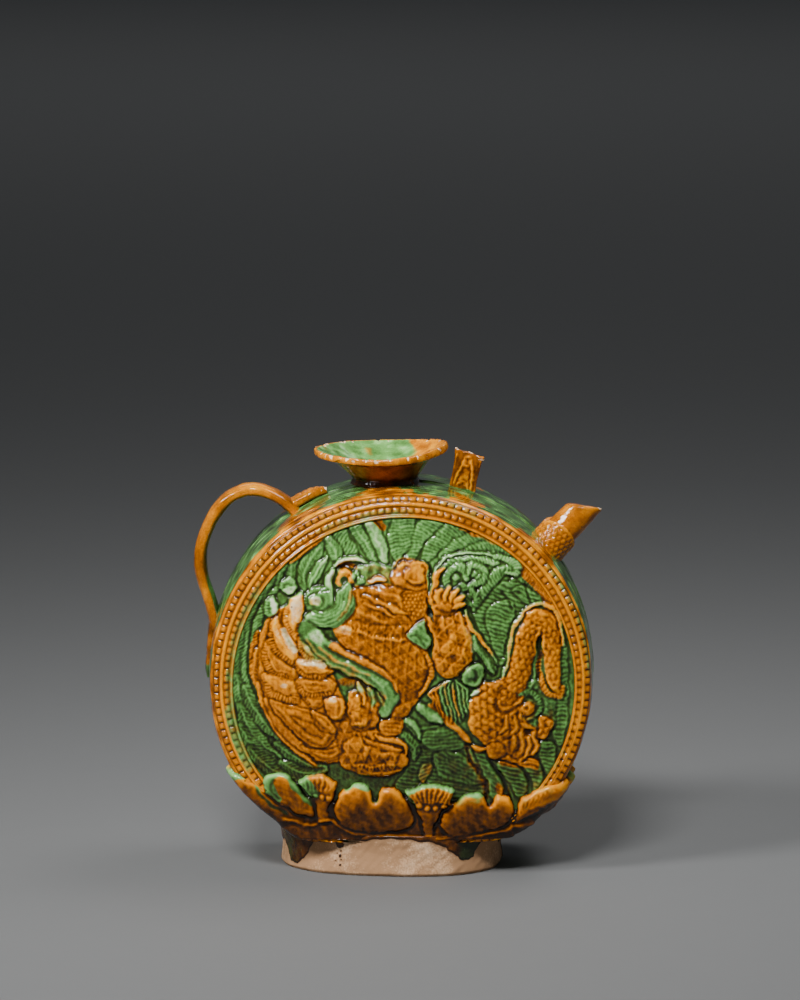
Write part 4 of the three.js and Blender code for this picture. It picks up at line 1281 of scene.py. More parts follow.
    def mould(self) -> Clay:
        """Presses every form and returns the finished clay."""
        reach = self.field_share * self.radius
        clay = Clay((-reach, -reach), (reach, reach), self.step, self.radius, edge=0.8)
        clay.relief[:] = self.ground
        groups = (self.leaves(), self.left_ground(), self.right_ground(), self.low_leaves(), self.tail(),
            self.wing(), self.body(), self.head(), self.lozenges())
        for group in groups:
            for form in group:
                form.press(clay)
        swell = np.zeros(clay.relief.shape)
        for mass in self.masses():
            swell = np.maximum(swell, mass.height(clay))
        places = np.stack([clay.across, clay.up], -1)
        swell = blurred(swell, self.swell_soft / self.step)
        clay.relief += swell + 0.16 * wobble(places, 4.5, 3) + 0.10 * wobble(places, 1.6, 4)
        clay.settle(self.soft)
        # Darker and less green towards the bottom of the face; greens are darker still low down and lighter
        # near the top.
        low = rise(-clay.up, 8, 45)
        clay.tone -= low * (0.14 + 0.1 * clay.green)
        clay.green -= 0.34 * low * clay.green
        downward_darkening = 0.06 + 0.25 * rise(-clay.up, -10, 60) - 0.24 * rise(clay.up, 45, 65)
        clay.tone -= 0.04 + clay.green * downward_darkening
        return clay


@dataclass(frozen=True)
class Face:
    """One moulded face of the flask: medallion, bead border and side wall."""

    clay: Clay
    back: bool
    cells: int = 308
    ground_drop: float = 1.3
    beads: int = 150
    bead_steps: int = 9
    border_rows: int = 30
    wall_columns: int = 900
    wall_rows: int = 58
    wall: float = 4.0
    inner_ridge: tuple = (84.8, 1.45, -2.4)
    band: tuple = (89.2, 0.8, -0.7)
    outer_ridge: tuple = (93.3, 0.3, -0.5)
    outer_share: float = 0.983
    bead_half: float = 1.25
    bead_rows: tuple = (((87.0, 0.9, -1.6), 1.0, 148, 0.2), ((91.5, 0.5, -0.4), 1.05, 150, 0.0))
    stains: tuple = ((-80, 40, 0.0, 0.45, 0.5), (-12, 26, 0.0, 0.5, 0.45), (-110, 16, 0.0, 0.6, 0.6),
        (18, 10, 0.6, 1.1, 0.4), (-40, 30, 0.7, 1.1, 0.35), (70, 30, 0.8, 1.1, 0.5),
        (125, 20, 0.0, 0.4, 0.4))
    splashes: tuple = ((-5, 9, 0.9, 0), (-33, 6, 0.8, 6), (-78, 7, 0.7, 14), (48, 7, 0.8, 4),
        (-104, 9, 0.7, 10), (104, 10, 0.5, 16), (19, 5, 0.6, 12))

    def side(self) -> str:
        """Name of the side."""
        return "back" if self.back else "front"

    def line(self, angle: Array, middle: float, across: float, up: float) -> Array:
        """Radius of a border line that isn't quite concentric.

        Args:
            angle: Angle from the top.
            middle: Mean radius.
            across: How far it leans to the right.
            up: How far it leans to the top.

        Returns:
            Radius in millimetres.
        """
        return middle + across * np.sin(angle) + up * np.cos(angle)

    def inner_line(self, angle: Array) -> Array:
        """Radius of the ridge round the medallion."""
        return self.line(angle, *self.inner_ridge)

    def outer_line(self, angle: Array) -> Array:
        """Radius of the ridge at the border's outer edge."""
        return np.minimum(self.line(angle, *self.outer_ridge), self.outer_share * FORM.outline(angle))

    def medallion(self) -> bpy.types.Object:
        """Builds the moulded disc."""
        line = np.linspace(-1, 1, self.cells + 1)
        a, b = np.meshgrid(line, line)
        wide = np.abs(a) > np.abs(b)
        reach = np.where(wide, a, b)
        turn = math.pi / 4 * np.where(wide, b, a) / np.where(reach == 0, 1, reach)
        turn = np.where(wide, turn, math.pi / 2 - turn)
        across, up = reach * np.cos(turn), reach * np.sin(turn)
        angle, share = np.arctan2(across, up), np.hypot(across, up)
        radius = share * (self.inner_line(angle) - 0.4)
        x, z = radius * np.sin(angle), radius * np.cos(angle)
        fade = rise(1 - share, 0.0, 0.02)
        depth = FORM.depth(radius / FORM.outline(angle)) - self.ground_drop * rise(1 - share, 0, 0.05)
        depth = depth + self.clay.sample(self.clay.relief, x, z) * fade - 0.4 * (1 - fade)
        depth = FORM.deepest - 0.4 * np.logaddexp(0, (FORM.deepest - depth) / 0.4)
        top = FORM.place(angle, radius, depth, self.back)
        count = (self.cells + 1) ** 2
        index = np.arange(count).reshape(a.shape)
        rim = np.concatenate([index[0, :-1], index[:-1, -1], index[-1, :0:-1], index[:0:-1, 0]])
        low = top.reshape(-1, 3)[rim].copy()
        low[:, 1] *= 0.86
        quads = np.stack([index[:-1, :-1], index[:-1, 1:], index[1:, 1:], index[1:, :-1]], -1)
        faces = quads.reshape(-1, 4).tolist()
        under = count + np.arange(len(rim))
        faces += np.stack([rim, under, np.roll(under, -1), np.roll(rim, -1)], -1).tolist()
        faces.append(under[::-1].tolist())
        places = np.concatenate([top.reshape(-1, 3), low])
        places[:, 2] = np.maximum(places[:, 2], FORM.floor)
        fields = (self.clay.green, self.clay.tone, self.clay.pale)
        mark = Mark(*(self.clay.sample(field, x, z).ravel() for field in fields), clay=np.zeros(count))
        chart = np.concatenate([
            0.01 + 0.97 * np.stack([a, b], -1).reshape(-1, 2) / 2 + 0.485,
            np.full((len(rim), 2), 0.995) * (1 - 0.002 * np.linspace(0, 1, len(rim))[:, None]),
        ])
        return make_piece(f"{self.side()}_medallion", places, faces, mark, chart)

    def border(self) -> bpy.types.Object:
        """Builds the bead border: two rows of beads beside a plain band, between two ridges."""
        columns = self.beads * self.bead_steps
        angle = round_angles(columns)[:, None]
        inner, outer = self.inner_line(angle) - 1.0, self.outer_line(angle)
        reach = inner + (outer - inner) * np.linspace(0, 1, self.border_rows)[None, :]
        angle = np.broadcast_to(angle, reach.shape)
        height = np.zeros(reach.shape)

        def ridge(middle: Array, half: float, lift: float) -> Array:
            """Height of a ring of one radius."""
            return lift * hump(reach - middle, half, 4)

        height += ridge(self.inner_line(angle), 0.8, 0.9)
        height += ridge(self.line(angle, *self.band), 1.0, 0.85)
        height += ridge(outer - 0.3, 0.7, 0.5)
        tone = np.zeros(reach.shape)
        for middle, lift, count, shift in self.bead_rows:
            radial = (reach - self.line(angle, *middle)) / self.bead_half
            around = ((angle / math.tau * count + shift) % 1 - 0.5) / 0.5
            strength = 0.8 + 0.2 * wobble(np.stack([np.sin(angle), np.cos(angle)], -1) * 90, 5.0, count)
            bead = np.sqrt(np.clip(1 - radial**2, 0, 1)) * np.sqrt(np.clip(1 - around**2, 0, 1))
            height += lift * strength * bead
            tone += 1.3 * bead - 0.85 * hump(radial, 1.05, 4)
        worn = ridge(self.line(angle, *self.band), 0.9, 1) + ridge(self.inner_line(angle), 0.6, 0.8)
        tone += 0.6 * worn
        flat = np.stack([reach * np.sin(angle), reach * np.cos(angle)], -1)
        height += 0.15 * wobble(flat, 9.0, 11) + 0.08 * wobble(flat, 2.5, 12)
        edge = np.linspace(0, 1, self.border_rows)[None, :]
        height -= 1.6 * (1 - rise(edge, 0, 0.06)) + 0.8 * rise(edge, 0.94, 1.0)
        depth = np.minimum(FORM.depth(reach / FORM.outline(angle)) + height, FORM.deepest)
        front = FORM.place(angle, reach, depth, self.back)
        inside = FORM.place(angle[:, [-1, 0]], reach[:, [-1, 0]], depth[:, [-1, 0]] - self.wall, self.back)
        places = np.concatenate([front, inside], 1)
        places[..., 2] = np.maximum(places[..., 2], FORM.floor)
        mark = Mark.plain(places.shape[:2])
        mark.tone[:, : self.border_rows] = np.clip(tone, -1, 1)
        self.paint_border(mark, np.degrees(angle), edge)
        return swept_piece(f"{self.side()}_bead_border", places, True, mark)

    def paint_border(self, mark: Mark, turn: Array, edge: Array) -> None:
        """Brushes green into parts of the amber border.

        Args:
            mark: Marks to change.
            turn: Angle of each vertex in degrees from the top.
            edge: Share across the border from its inner edge.
        """
        turn = (turn + 180) % 360 - 180
        stain = np.zeros(turn.shape)
        for middle, half, low, high, share in self.stains:
            near = 1 - rise(np.abs(turn - middle) / half, 0.5, 1.0)
            fresh = share * near * rise(edge, low - 0.1, low + 0.05) * (1 - rise(edge, high - 0.1, high))
            stain = np.maximum(stain, fresh)
        mark.green[:, : self.border_rows] = stain

    def side_wall(self) -> bpy.types.Object:
        """Builds the plain wall from the border over the shoulder to the seam."""
        angle = round_angles(self.wall_columns)
        start = (self.outer_line(angle) - 0.7) / FORM.outline(angle)
        share, depth, out, deep = FORM.section(start, self.wall_rows)
        angle = np.broadcast_to(angle[:, None], share.shape)
        way = np.stack([np.sin(angle) * 95, np.cos(angle) * 95, depth], -1)
        lump = 0.25 * wobble(way, 14.0, 21) + 0.07 * wobble(way, 4.0, 22)
        seam = 0.3 * hump(depth, 1.6)
        inner = rise(np.linspace(0, 1, self.wall_rows), 0.0, 0.05)[None, :]
        lump = lump + seam - 0.8 * (1 - inner)
        reach, depth = share * FORM.outline(angle) + out * lump, depth + deep * lump
        front = FORM.place(angle, reach, np.maximum(depth, FORM.seam_gap), self.back)
        inside = [
            FORM.place(angle[:, 0], reach[:, -1] - self.wall, depth[:, -1] * 0 + FORM.seam_gap, self.back),
            FORM.place(angle[:, 0], reach[:, -1] - self.wall, depth[:, 0] - self.wall, self.back),
            FORM.place(angle[:, 0], reach[:, 0], depth[:, 0] - self.wall, self.back),
        ]
        places = np.concatenate([front, np.stack(inside, 1)], 1)
        places[..., 2] = np.maximum(places[..., 2], FORM.floor)
        mark = Mark.plain(places.shape[:2], 1.0)
        self.paint_wall(mark, np.degrees(angle), depth)
        return swept_piece(f"{self.side()}_side_wall", places, True, mark)

    def paint_wall(self, mark: Mark, turn: Array, depth: Array) -> None:
        """Brushes amber into the green wall.

        Args:
            mark: Marks to change.
            turn: Angle of each vertex in degrees from the top, as the face is seen.
            depth: Distance of each vertex from the seam.
        """
        turn = (turn + 180) % 360 - 180
        if self.back:
            turn = -turn
        flat = np.stack([turn * 1.6, depth], -1)
        drift = 5.0 * wobble(flat, 13.0, 27) + 2.0 * wobble(flat, 4.0, 28)
        amber = rise(depth, 30.5, 32.5)
        for middle, half, share, fade in self.splashes:
            width = half * (0.45 + 0.75 * rise(depth, 4, 30))
            near = 1 - rise(np.abs(turn - middle + drift) / width, 0.4, 1.1)
            amber = np.maximum(amber, share * near * rise(depth, fade - 5, fade + 3))
        mark.green[:, : self.wall_rows] = 1 - amber
        mark.green[:, : self.wall_rows] -= 0.35 * rise(wobble(flat, 7.0, 24), 0.1, 0.9)
        runs = wobble(np.stack([turn * 0.25, depth], -1), 1.8, 29)
        cloud = wobble(flat, 6.0, 25)
        mark.tone[:, : self.wall_rows] = 0.25 * rise(depth, 31, 33) + 0.3 * cloud + 0.35 * runs
        mark.pale[:, : self.wall_rows] = 0.3 * rise(wobble(flat, 4.0, 26), 0.4, 1.0)

    def build(self) -> list[bpy.types.Object]:
        """Builds the face's three pieces."""
        return [self.medallion(), self.border(), self.side_wall()]


@dataclass(frozen=True)
class LotusCollar:
    """Band of lotus petals that laps up over the flask's underside, one half a face."""

    back: bool
    columns: int = 560
    rows: int = 150
    inner_rows: int = 5
    arc: float = 68.0
    top: float = 53.0
    wall_run: float = 33.0
    bottom: float = 18.6
    wall: float = 2.5

    def petals(self) -> list:
        """Petals across one face, with the wall's unrolled depth beyond its edges, in millimetres."""
        base = [(-118, 12), (-118, 42), (-92, 45), (-72, 44), (-50, 41), (-36, 41), (-31, 38), (-13, 38),
            (2, 41), (27, 38), (43, 36), (57, 34), (76, 40), (96, 44), (118, 40), (118, 12)]
        side = dict(texture=Texture.STRIPES, pitch=5.0, depth=0.35, root=0.9, tip=0.15, rib=0.0)
        forms: list = [Lobe(tuple(base), 1.9, 4.0, Texture.FOLDS, 9.0, 0.3, turn=90)]
        forms += [Strip(((x, 24), (x, 36), (x + lean, 50)), 9.5, 2.4, green=0.5, **side) for x,
            lean in ((-107, 2), (107, -2))]
        forms += [
            Strip(((-52, 29), (-66, 32.5), (-77, 41.5), (-88, 53)), 7.5, 2.3, Texture.SMOOTH, green=0.0,
                tip=0.3, rib=0.0),
            Lobe(((-69.7, 47.9), (-67.8, 41.2), (-62.2, 35.8), (-55.9, 32), (-51, 29.6), (-44, 29.6),
                (-42.6, 33.5), (-47.5, 41), (-51.8, 47.6), (-56.5, 52), (-61.6, 53.4), (-66, 51.3)), 3.3,
                7.0, green=1.0),
            Lobe(((-52.5, 48), (-47, 51.6), (-40.2, 52.6), (-34, 50.4), (-30, 46.5), (-33, 41),
                (-35.5, 34), (-35, 27), (-42, 27), (-42.5, 36), (-47.5, 42)), 3.0, 5.0, green=0.0),
            Lobe(((-33.2, 37.2), (-31.3, 42), (-25.8, 46.1), (-21.4, 48.2), (-17, 46.8), (-14.3, 43.2),
                (-12.9, 39.6), (-11, 44.2), (-6.3, 46.2), (0, 43.6), (4.3, 37.2), (6.8, 30.4), (5, 25.1),
                (-7.5, 22.2), (-21.4, 22.8), (-29.5, 26.4), (-33, 32)), 3.7, 7.0, green=0.0),
            Lobe(((1.5, 44), (7.7, 46.8), (14, 47.8), (20.2, 47.5), (27.4, 44.2), (25, 37.9), (20.8, 33.1),
                (17.8, 27.8), (15.5, 20), (10.9, 20), (10, 28), (8.2, 32.5), (5, 37.2)), 3.3, 5.0,
                green=0.0),
            Lobe(((19.2, 27.8), (20.6, 32), (26.2, 36.8), (29.4, 40.8), (34.7, 43.2), (39.7, 42.8),
                (42.4, 39.2), (43.5, 36.8), (45.6, 40.5), (49.1, 42.2), (53.2, 40), (56.2, 35.8),
                (55.6, 30), (52.9, 26.3), (47.2, 23.4), (37.2, 20.2), (25.9, 19.2), (20.6, 22.6)), 3.7,
                7.0, green=0.0),
            Lobe(((56.5, 34), (59.5, 40), (66, 44), (74.9, 47), (84, 49), (84, 42), (76, 33), (67, 27),
                (57, 25)), 3.2, 6.0, green=0.35),
            Strip(((62, 24), (74, 30), (86, 40), (94, 50)), 7.0, 2.8, green=0.2, **side),
        ]
        return forms

    def details(self) -> list:
        """Flutes, beads, folds and glaze of the petals."""
        forms: list = [Boss((x, 35.6 + 0.03 * (x - 16) ** 2), 1.6, 0.9, 0.5)
            for x in (8.6, 12.8, 17.1, 21.2, 24.6)]
        forms += [Boss((-45.5 + 3.3 * k, 41.4 - 0.6 * abs(k - 1)), 1.5, 0.8, 0.5) for k in range(4)]
        forms += [Ridge(((14 + 1.7 * k, 38), (14.3 + 2.6 * k, 43 + 0.4 * (4 - abs(k))),
            (14.5 + 3.0 * k, 48 - 0.35 * abs(k))), 0.55, 0.7, teeth=1.1) for k in range(-4, 5)]
        forms += [Ridge(((-41 + 1.9 * k, 43.5), (-41 + 2.5 * k, 51.8 - 0.5 * abs(k))), 0.55, 0.7)
            for k in range(-4, 5)]
        forms += [Ridge(((58.5 + 1.35 * k, 30 + 0.8 * k), (57.5 + 2.3 * k, 38 + 0.85 * k)), 0.5, 0.6)
            for k in range(12)]
        forms += [Ridge(((-92 + 3.2 * k, 53 - 0.2 * k), (-87 + 3 * k, 46 - 0.6 * k)), 0.5, 0.5)
            for k in range(5)]
        forms += [
            Ridge(((-60, 28), (-46, 25.5), (-36.5, 28.6), (-31, 26.6), (-24, 22.6), (-8, 21), (10, 20.4),
                (20, 19.6), (36, 19.5), (50, 22), (56, 25), (66, 28)), 1.0, 0.9, green=0.0),
            Ridge(((4, 42), (8, 33), (10, 24)), 0.6, -0.4),
            Ridge(((26, 42), (20, 33), (17, 24)), 0.6, -0.4),
            Ridge(((-61, 37), (-56, 33), (-51, 30)), 0.6, -0.5),
            Ridge(((-62.5, 50), (-64.5, 44), (-61, 38)), 0.7, -0.5),
            Ridge(((-73, 47), (-70, 40), (-64, 34), (-56, 30)), 0.7, -0.6, green=0.8),
            Wash(((-92, 53), (-84, 50)), 3.0, green=0.9, pale=0.3),
            Wash(((-84, 50), (-76, 51), (-71, 50)), 2.4, green=1.0),
            Wash(((-59.5, 48), (-57, 43), (-53, 38)), 4.4, green=0.0),
            Wash(((-57, 36), (-51, 34), (-46, 33)), 4.4, green=0.0),
            Wash(((-56, 52), (-51, 46), (-47, 40.5), (-44.5, 36)), 1.0, green=1.0),
            Wash(((-66, 51), (-61, 53), (-57, 51)), 1.5, green=1.0, pale=0.35),
            Wash(((-51, 48), (-47, 46), (-44, 43)), 4.4, green=1.0),
            Wash(((-48, 51), (-40, 52.5), (-34, 50.5)), 1.1, green=0.7),
            Wash(((-34, 48), (-35, 42)), 2.0, green=0.0),
            Wash(((-27, 45.2), (-22, 47.8), (-16, 45)), 1.4, green=1.0, pale=0.4),
            Wash(((-13, 44), (-13, 40)), 1.8, green=1.0),
            Wash(((2, 44), (8, 46.8), (14, 47.8), (20, 47.5), (27, 44)), 2.3, green=0.95, pale=0.1),
            Wash(((3, 42), (7, 36)), 1.4, green=0.8),
            Wash(((27, 38.5), (32, 42.6), (41, 42)), 1.7, green=0.9, pale=0.1),
            Wash(((29, 37), (34, 39), (39, 39)), 2.2, green=0.45),
            Wash(((66, 28), (74, 34), (81, 42), (82, 46)), 2.2, green=0.05),
            Wash(((58, 31), (66, 29)), 3.4, green=0.1), Wash(((88, 50), (95, 48)), 3.0, green=0.6),
            Wash(((50, 41), (52, 38)), 2.2, green=0.0, pale=0.25),
        ]
        return forms

    def mould(self) -> Clay:
        """Presses the petals and returns the finished clay."""
        clay = Clay((-120, 10), (120, 60), 0.3, edge=1.1)
        clay.relief[:] = -3.0
        clay.green[:] = 0.35
        for form in self.petals() + self.details():
            form.press(clay)
        places = np.stack([clay.across, clay.up], -1)
        fine = wobble(places, 1.0, 33)
        clay.relief += 0.3 * wobble(places, 7.0, 31) + 0.12 * wobble(places, 2.2, 32) + 0.06 * fine
        clay.settle(0.4)
        clay.tone -= 0.36 + 0.34 * rise(44 - clay.up, 0, 18)
        clay.pale *= 0.7
        return clay

    def bulge(self, x: Array, z: Array) -> Array:
        """How much further the collar stands out on the spout's side, and how much less on the handle's.

        Args:
            x: Place across the ewer, from the flask's middle.
            z: Height over the table.

        Returns:
            Millimetres.
        """
        left = 0.4 - 3.6 * rise(46 - z, 0, 13)
        right = 1.6 - 3.4 * rise(35 - z, 0, 8)
        share = rise(x, -20, 60)
        return left * (1 - share) + right * share

    def build(self) -> bpy.types.Object:
        """Builds this half of the collar."""
        clay = self.mould()
        angle = math.pi + np.radians(np.linspace(-self.arc, self.arc, self.columns))
        drop = FORM.middle_z - self.top
        start = np.clip(drop / np.maximum(-np.cos(angle), 0.05) / FORM.outline(angle), 0.4, 0.9)
        share, depth, out, deep = FORM.section(start, self.rows)
        angle = np.broadcast_to(angle[:, None], share.shape)
        reach = share * FORM.outline(angle)
        x, z = reach * np.sin(angle), FORM.middle_z + reach * np.cos(angle)
        run = self.wall_run * (1 - np.clip(depth / self.wall_run, 0, 1))
        unrolled = x + np.sign(x) * run * 0.85
        stand = clay.sample(clay.relief, unrolled, z)
        world = -x if self.back else x
        beside = rise(run, 0, 10)
        bulge = self.bulge(world, z) * rise(stand, -1.2, 1.0) * beside
        stand = stand + bulge - 5 * rise(30 - z, 0, 4) * beside
        reach, deeper = reach + out * stand, depth + deep * stand
        front = FORM.place(angle, reach, np.clip(deeper, FORM.seam_gap, FORM.deepest), self.back)
        pick = np.linspace(self.rows - 1, 0, self.inner_rows).astype(int)
        inner_reach = share[:, pick] * FORM.outline(angle[:, pick]) - self.wall
        inner_depth = np.maximum(depth[:, pick] - self.wall, FORM.seam_gap)
        inside = FORM.place(angle[:, pick], inner_reach, inner_depth, self.back)
        places = np.concatenate([front, inside], 1)
        places[..., 2] = np.maximum(places[..., 2], self.bottom)
        mark = Mark.plain(places.shape[:2])
        for key in ("green", "tone", "pale"):
            getattr(mark, key)[:, : self.rows] = clay.sample(getattr(clay, key), unrolled, z)
        return swept_piece(f"{'back' if self.back else 'front'}_lotus_petals", places, False, mark)


@dataclass(frozen=True)
class Foot:
    """Oval foot of bare clay with runs of glaze from the collar."""

    height: float = 20.6
    half_length: float = 55.2
    half_depth: float = 38.5
    wall: float = 7.0
    shift: float = 4.8
    turn: float = -6.0
    bend: float = 0.8
    columns: int = 720
    rows: int = 48
    edge: tuple = ((-62, 16), (-58, 12.5), (-56.5, 10), (-55, 7.5), (-53.5, 5.6), (-51.5, 5.2),
        (-49.5, 6.5), (-47.5, 9), (-45.5, 12.5), (-43.5, 16), (-41.5, 19.5), (-38.5, 21), (-36, 20.4),
        (-33, 19.2), (-32, 15.5), (-30.6, 13.6), (-28.8, 14.5), (-28, 19.3), (-23, 18.2), (-18, 17.6),
        (-12, 18.8), (0, 18.8), (8, 17.6), (15, 16.9), (19, 16.2), (22, 14), (27, 10), (30, 8), (33, 7.8),
        (35.5, 9.5), (38, 14), (40, 17.5), (46.5, 19.8), (47.8, 18), (48.6, 15.3), (50, 17), (52, 20),
        (58, 22))
    spots: tuple = ((-30, 10.3, 1.2), (-29.4, 8.4, 0.6), (-30.4, 5.6, 0.8), (-32.4, 8, 0.5),
        (-31.7, 11.5, 0.6), (-29.5, 12.8, 0.8))

    def oval(self, turn: Array, out: Array) -> tuple[Array, Array]:
        """Places on an oval.

        Args:
            turn: Angle round the oval.
            out: Distance outside the foot's own outline.

        Returns:
            First two coordinates, turned and shifted as the foot stands.
        """
        x = (self.half_length + out) * squared(np.cos(turn), self.bend)
        y = (self.half_depth + out) * squared(np.sin(turn), self.bend)
        lean = math.radians(self.turn)
        across = x * math.cos(lean) - y * math.sin(lean) - self.shift + FORM.middle_x
        return across, x * math.sin(lean) + y * math.cos(lean)

    def glaze(self, x: Array, y: Array, z: Array) -> tuple[Array, Array]:
        """Where glaze has run down over the clay.

        Args:
            x: First coordinate, from the flask's middle.
            y: Second coordinate.
            z: Height over the table.

        Returns:
            How far inside the glaze a place is in millimetres, and its share of green.
        """
        face = np.where(y > 0, -x, x) + 0.5 * wobble(np.stack([x, y, z], -1), 2.0, 44)
        line = np.array(self.edge)
        seen = z + 0.167 * (self.half_depth - np.abs(y))
        side = rise(np.abs(y), 2, 16) * rise(60 - np.abs(face), 0, 6) + rise(56 - np.abs(face), 0, 3)
        side = np.clip(side, 0, 1)
        flat = np.stack([x, y], -1)
        guessed = 17 + 2.5 * wobble(flat, 7.0, 45)
        fringe = np.interp(face, line[:, 0], line[:, 1]) * side + guessed * (1 - side)
        inside = 0.75 * (seen - fringe + 0.4 * wobble(flat, 4.0, 41))
        for spot_x, spot_z, radius in self.spots:
            inside = np.maximum(inside, radius - np.hypot(face - spot_x, seen - spot_z))
        green = (0.45 * rise(-face, 40, 58) + 0.6 * rise(face, 24, 32) + 0.1) * side + 0.4 * (1 - side)
        return inside, green

    def build(self) -> bpy.types.Object:
        """Builds the foot."""
        turn = round_angles(self.columns)[:, None]
        z = np.concatenate([[0.0], 0.4 + (self.height - 0.4) * np.linspace(0, 1, self.rows - 1)])[None, :]
        turn, z = np.broadcast_arrays(turn, z)
        out = -0.9 * np.sin(math.pi * np.clip(z / self.height, 0, 1)) ** 2 - 0.9 * (1 - rise(z, 0, 1.4))
        x, y = self.oval(turn, out)
        way = np.stack([x, y, z], -1)
        out = out + 0.22 * wobble(way, 8.0, 42) + 0.10 * wobble(way, 2.4, 43)
        inside, green = self.glaze(x - FORM.middle_x, y, z)
        out = out + 0.55 * rise(inside, 0, 1.6) + 0.25 * hump(inside - 0.7, 0.6)
        x, y = self.oval(turn, out)
        outer = np.stack([x, y, np.maximum(z, 0) + 0.0], -1)
        ring = turn[:, :1]
        inner = []
        for gap, height in (
            (-self.wall, self.height), (-self.wall, 0.8), (-self.wall + 1.2, 0.0), (-1.6, 0.0),
        ):
            spots = self.oval(ring[:, 0], np.full(len(ring), gap))
            inner.append(np.stack([*spots, np.full(len(ring), height)], -1))
        places = np.concatenate([outer, np.stack(inner, 1)], 1)
        mark = Mark.plain(places.shape[:2])
        mark.clay[:] = 1.0
        mark.clay[:, : self.rows] = 1 - rise(inside, -0.6, 1.0)
        mark.green[:, : self.rows] = green
        shade = 0.3 * rise(x - FORM.middle_x, 24, 32)
        mark.tone[:, : self.rows] = -0.5 - 0.35 * hump(inside - 0.6, 0.8) - shade
        return swept_piece("bare_clay_foot", places, True, mark)


@dataclass(frozen=True)
class DishMouth:
    """Short neck and flaring dish with four soft corners and a chipped rim."""

    height: float = 15.8
    radius: float = 32.6
    rim_depth: float = 3.4
    neck_radius: float = 16.4
    neck_bore: float = 9.0
    wall: float = 4.0
    neck_shift: float = 7.6
    lean: float = 2.4
    corner_rise: float = 2.4
    corner_share: float = 0.035
    tilt: float = math.radians(2)
    corner_turn: float = math.radians(17)
    columns: int = 420
    rows: int = 110

    def profile(self) -> Array:
        """Section of the wall from the neck's root out over the rim and down to the bore."""
        span, rim = self.radius - self.neck_radius, self.height - self.rim_depth
        return np.array([(self.neck_radius + 1.2, -1.0), (self.neck_radius + 0.2, 0.8),
            (self.neck_radius + 0.1, self.height * 0.14),
            (self.neck_radius + span * 0.24, self.height * 0.42),
            (self.neck_radius + span * 0.58, self.height * 0.68), (self.radius - 1.2, rim - 0.3),
            (self.radius - 0.1, rim + 0.6), (self.radius - 0.2, self.height - 0.8),
            (self.radius - 1.2, self.height - 0.15), (self.radius - 3.4, self.height - 1.2),
            (self.neck_bore + (self.radius - self.neck_bore) * 0.6, self.height - self.wall),
            (self.neck_bore + self.wall + 1.5, self.height * 0.48),
            (self.neck_bore + 1.0, self.height * 0.3), (self.neck_bore, 1.0), (self.neck_bore, -4.0)])

    def build(self) -> bpy.types.Object:
        """Builds the neck and dish."""
        section = smooth_line(self.profile(), self.rows)
        turn = round_angles(self.columns)[:, None]
        radius, height = section[None, :, 0], section[None, :, 1]
        turn, radius, height = np.broadcast_arrays(turn, radius, height)
        flare = np.clip(height / self.height, 0, 1)
        corner = 1 + self.corner_share * flare * np.cos(4 * (turn - self.corner_turn))
        rim = hump(radius - self.radius, 2.2) * rise(height, self.height - 6, self.height - 2)
        around = np.stack([np.cos(turn), np.sin(turn), height / 30], -1) * 33
        chip = rise(wobble(around, 2.6, 51) + 0.5 * wobble(around, 1.1, 52), 0.35, 0.9) * rim
        high = rise(height, self.height - 2.6, self.height - 1.0)
        fine = wobble(around, 1.8, 54)
        radius = radius * corner - 0.8 * chip + 0.12 * wobble(around, 6.0, 53) + 0.06 * fine
        x, y = radius * np.cos(turn), radius * np.sin(turn)
        z = height + flare * (x * math.tan(self.tilt) + self.corner_rise * (x / self.radius) ** 2)
        z = z - (0.9 * chip + 0.35 * rim * (0.5 + 0.5 * wobble(around, 4.0, 55))) * high
        foot_z = FORM.middle_z + FORM.radius * math.cos(math.asin(self.neck_shift / FORM.radius))
        places = np.stack([x - flare * self.lean - self.neck_shift + FORM.middle_x, y, z + foot_z], -1)
        places[..., 2] = np.minimum(places[..., 2], FORM.top)
        mark = Mark.plain(places.shape[:2])
        lip = np.argmax(section[:, 1])
        inner = (np.arange(self.rows) > lip + 2)[None, :] * np.ones_like(x)
        stain = 0.5 * wobble(places, 9.0, 56) + rise(-x, -22, -6)
        mark.green[:] = inner * np.clip(stain, 0, 1)
        mark.tone[:] = 0.25 * inner + 0.3 * rim - 0.75 * (1 - rise(height, 0.5, 5)) * (1 - inner)
        mark.tone[:] += 0.2 * wobble(places, 5.0, 57)
        mark.pale[:] = 0.3 * inner * rise(wobble(places, 3.0, 58), 0.1, 0.8)
        left_back = rise(-x, 4, 22) * rise(y, -8, 10)
        worn = 1.3 * rim * high * left_back * rise(wobble(around, 3.0, 59), -0.3, 0.4)
        mark.clay[:] = np.clip(chip * high * 1.6 + worn, 0, 1)
        return swept_piece("dish_and_neck", places, True, mark)


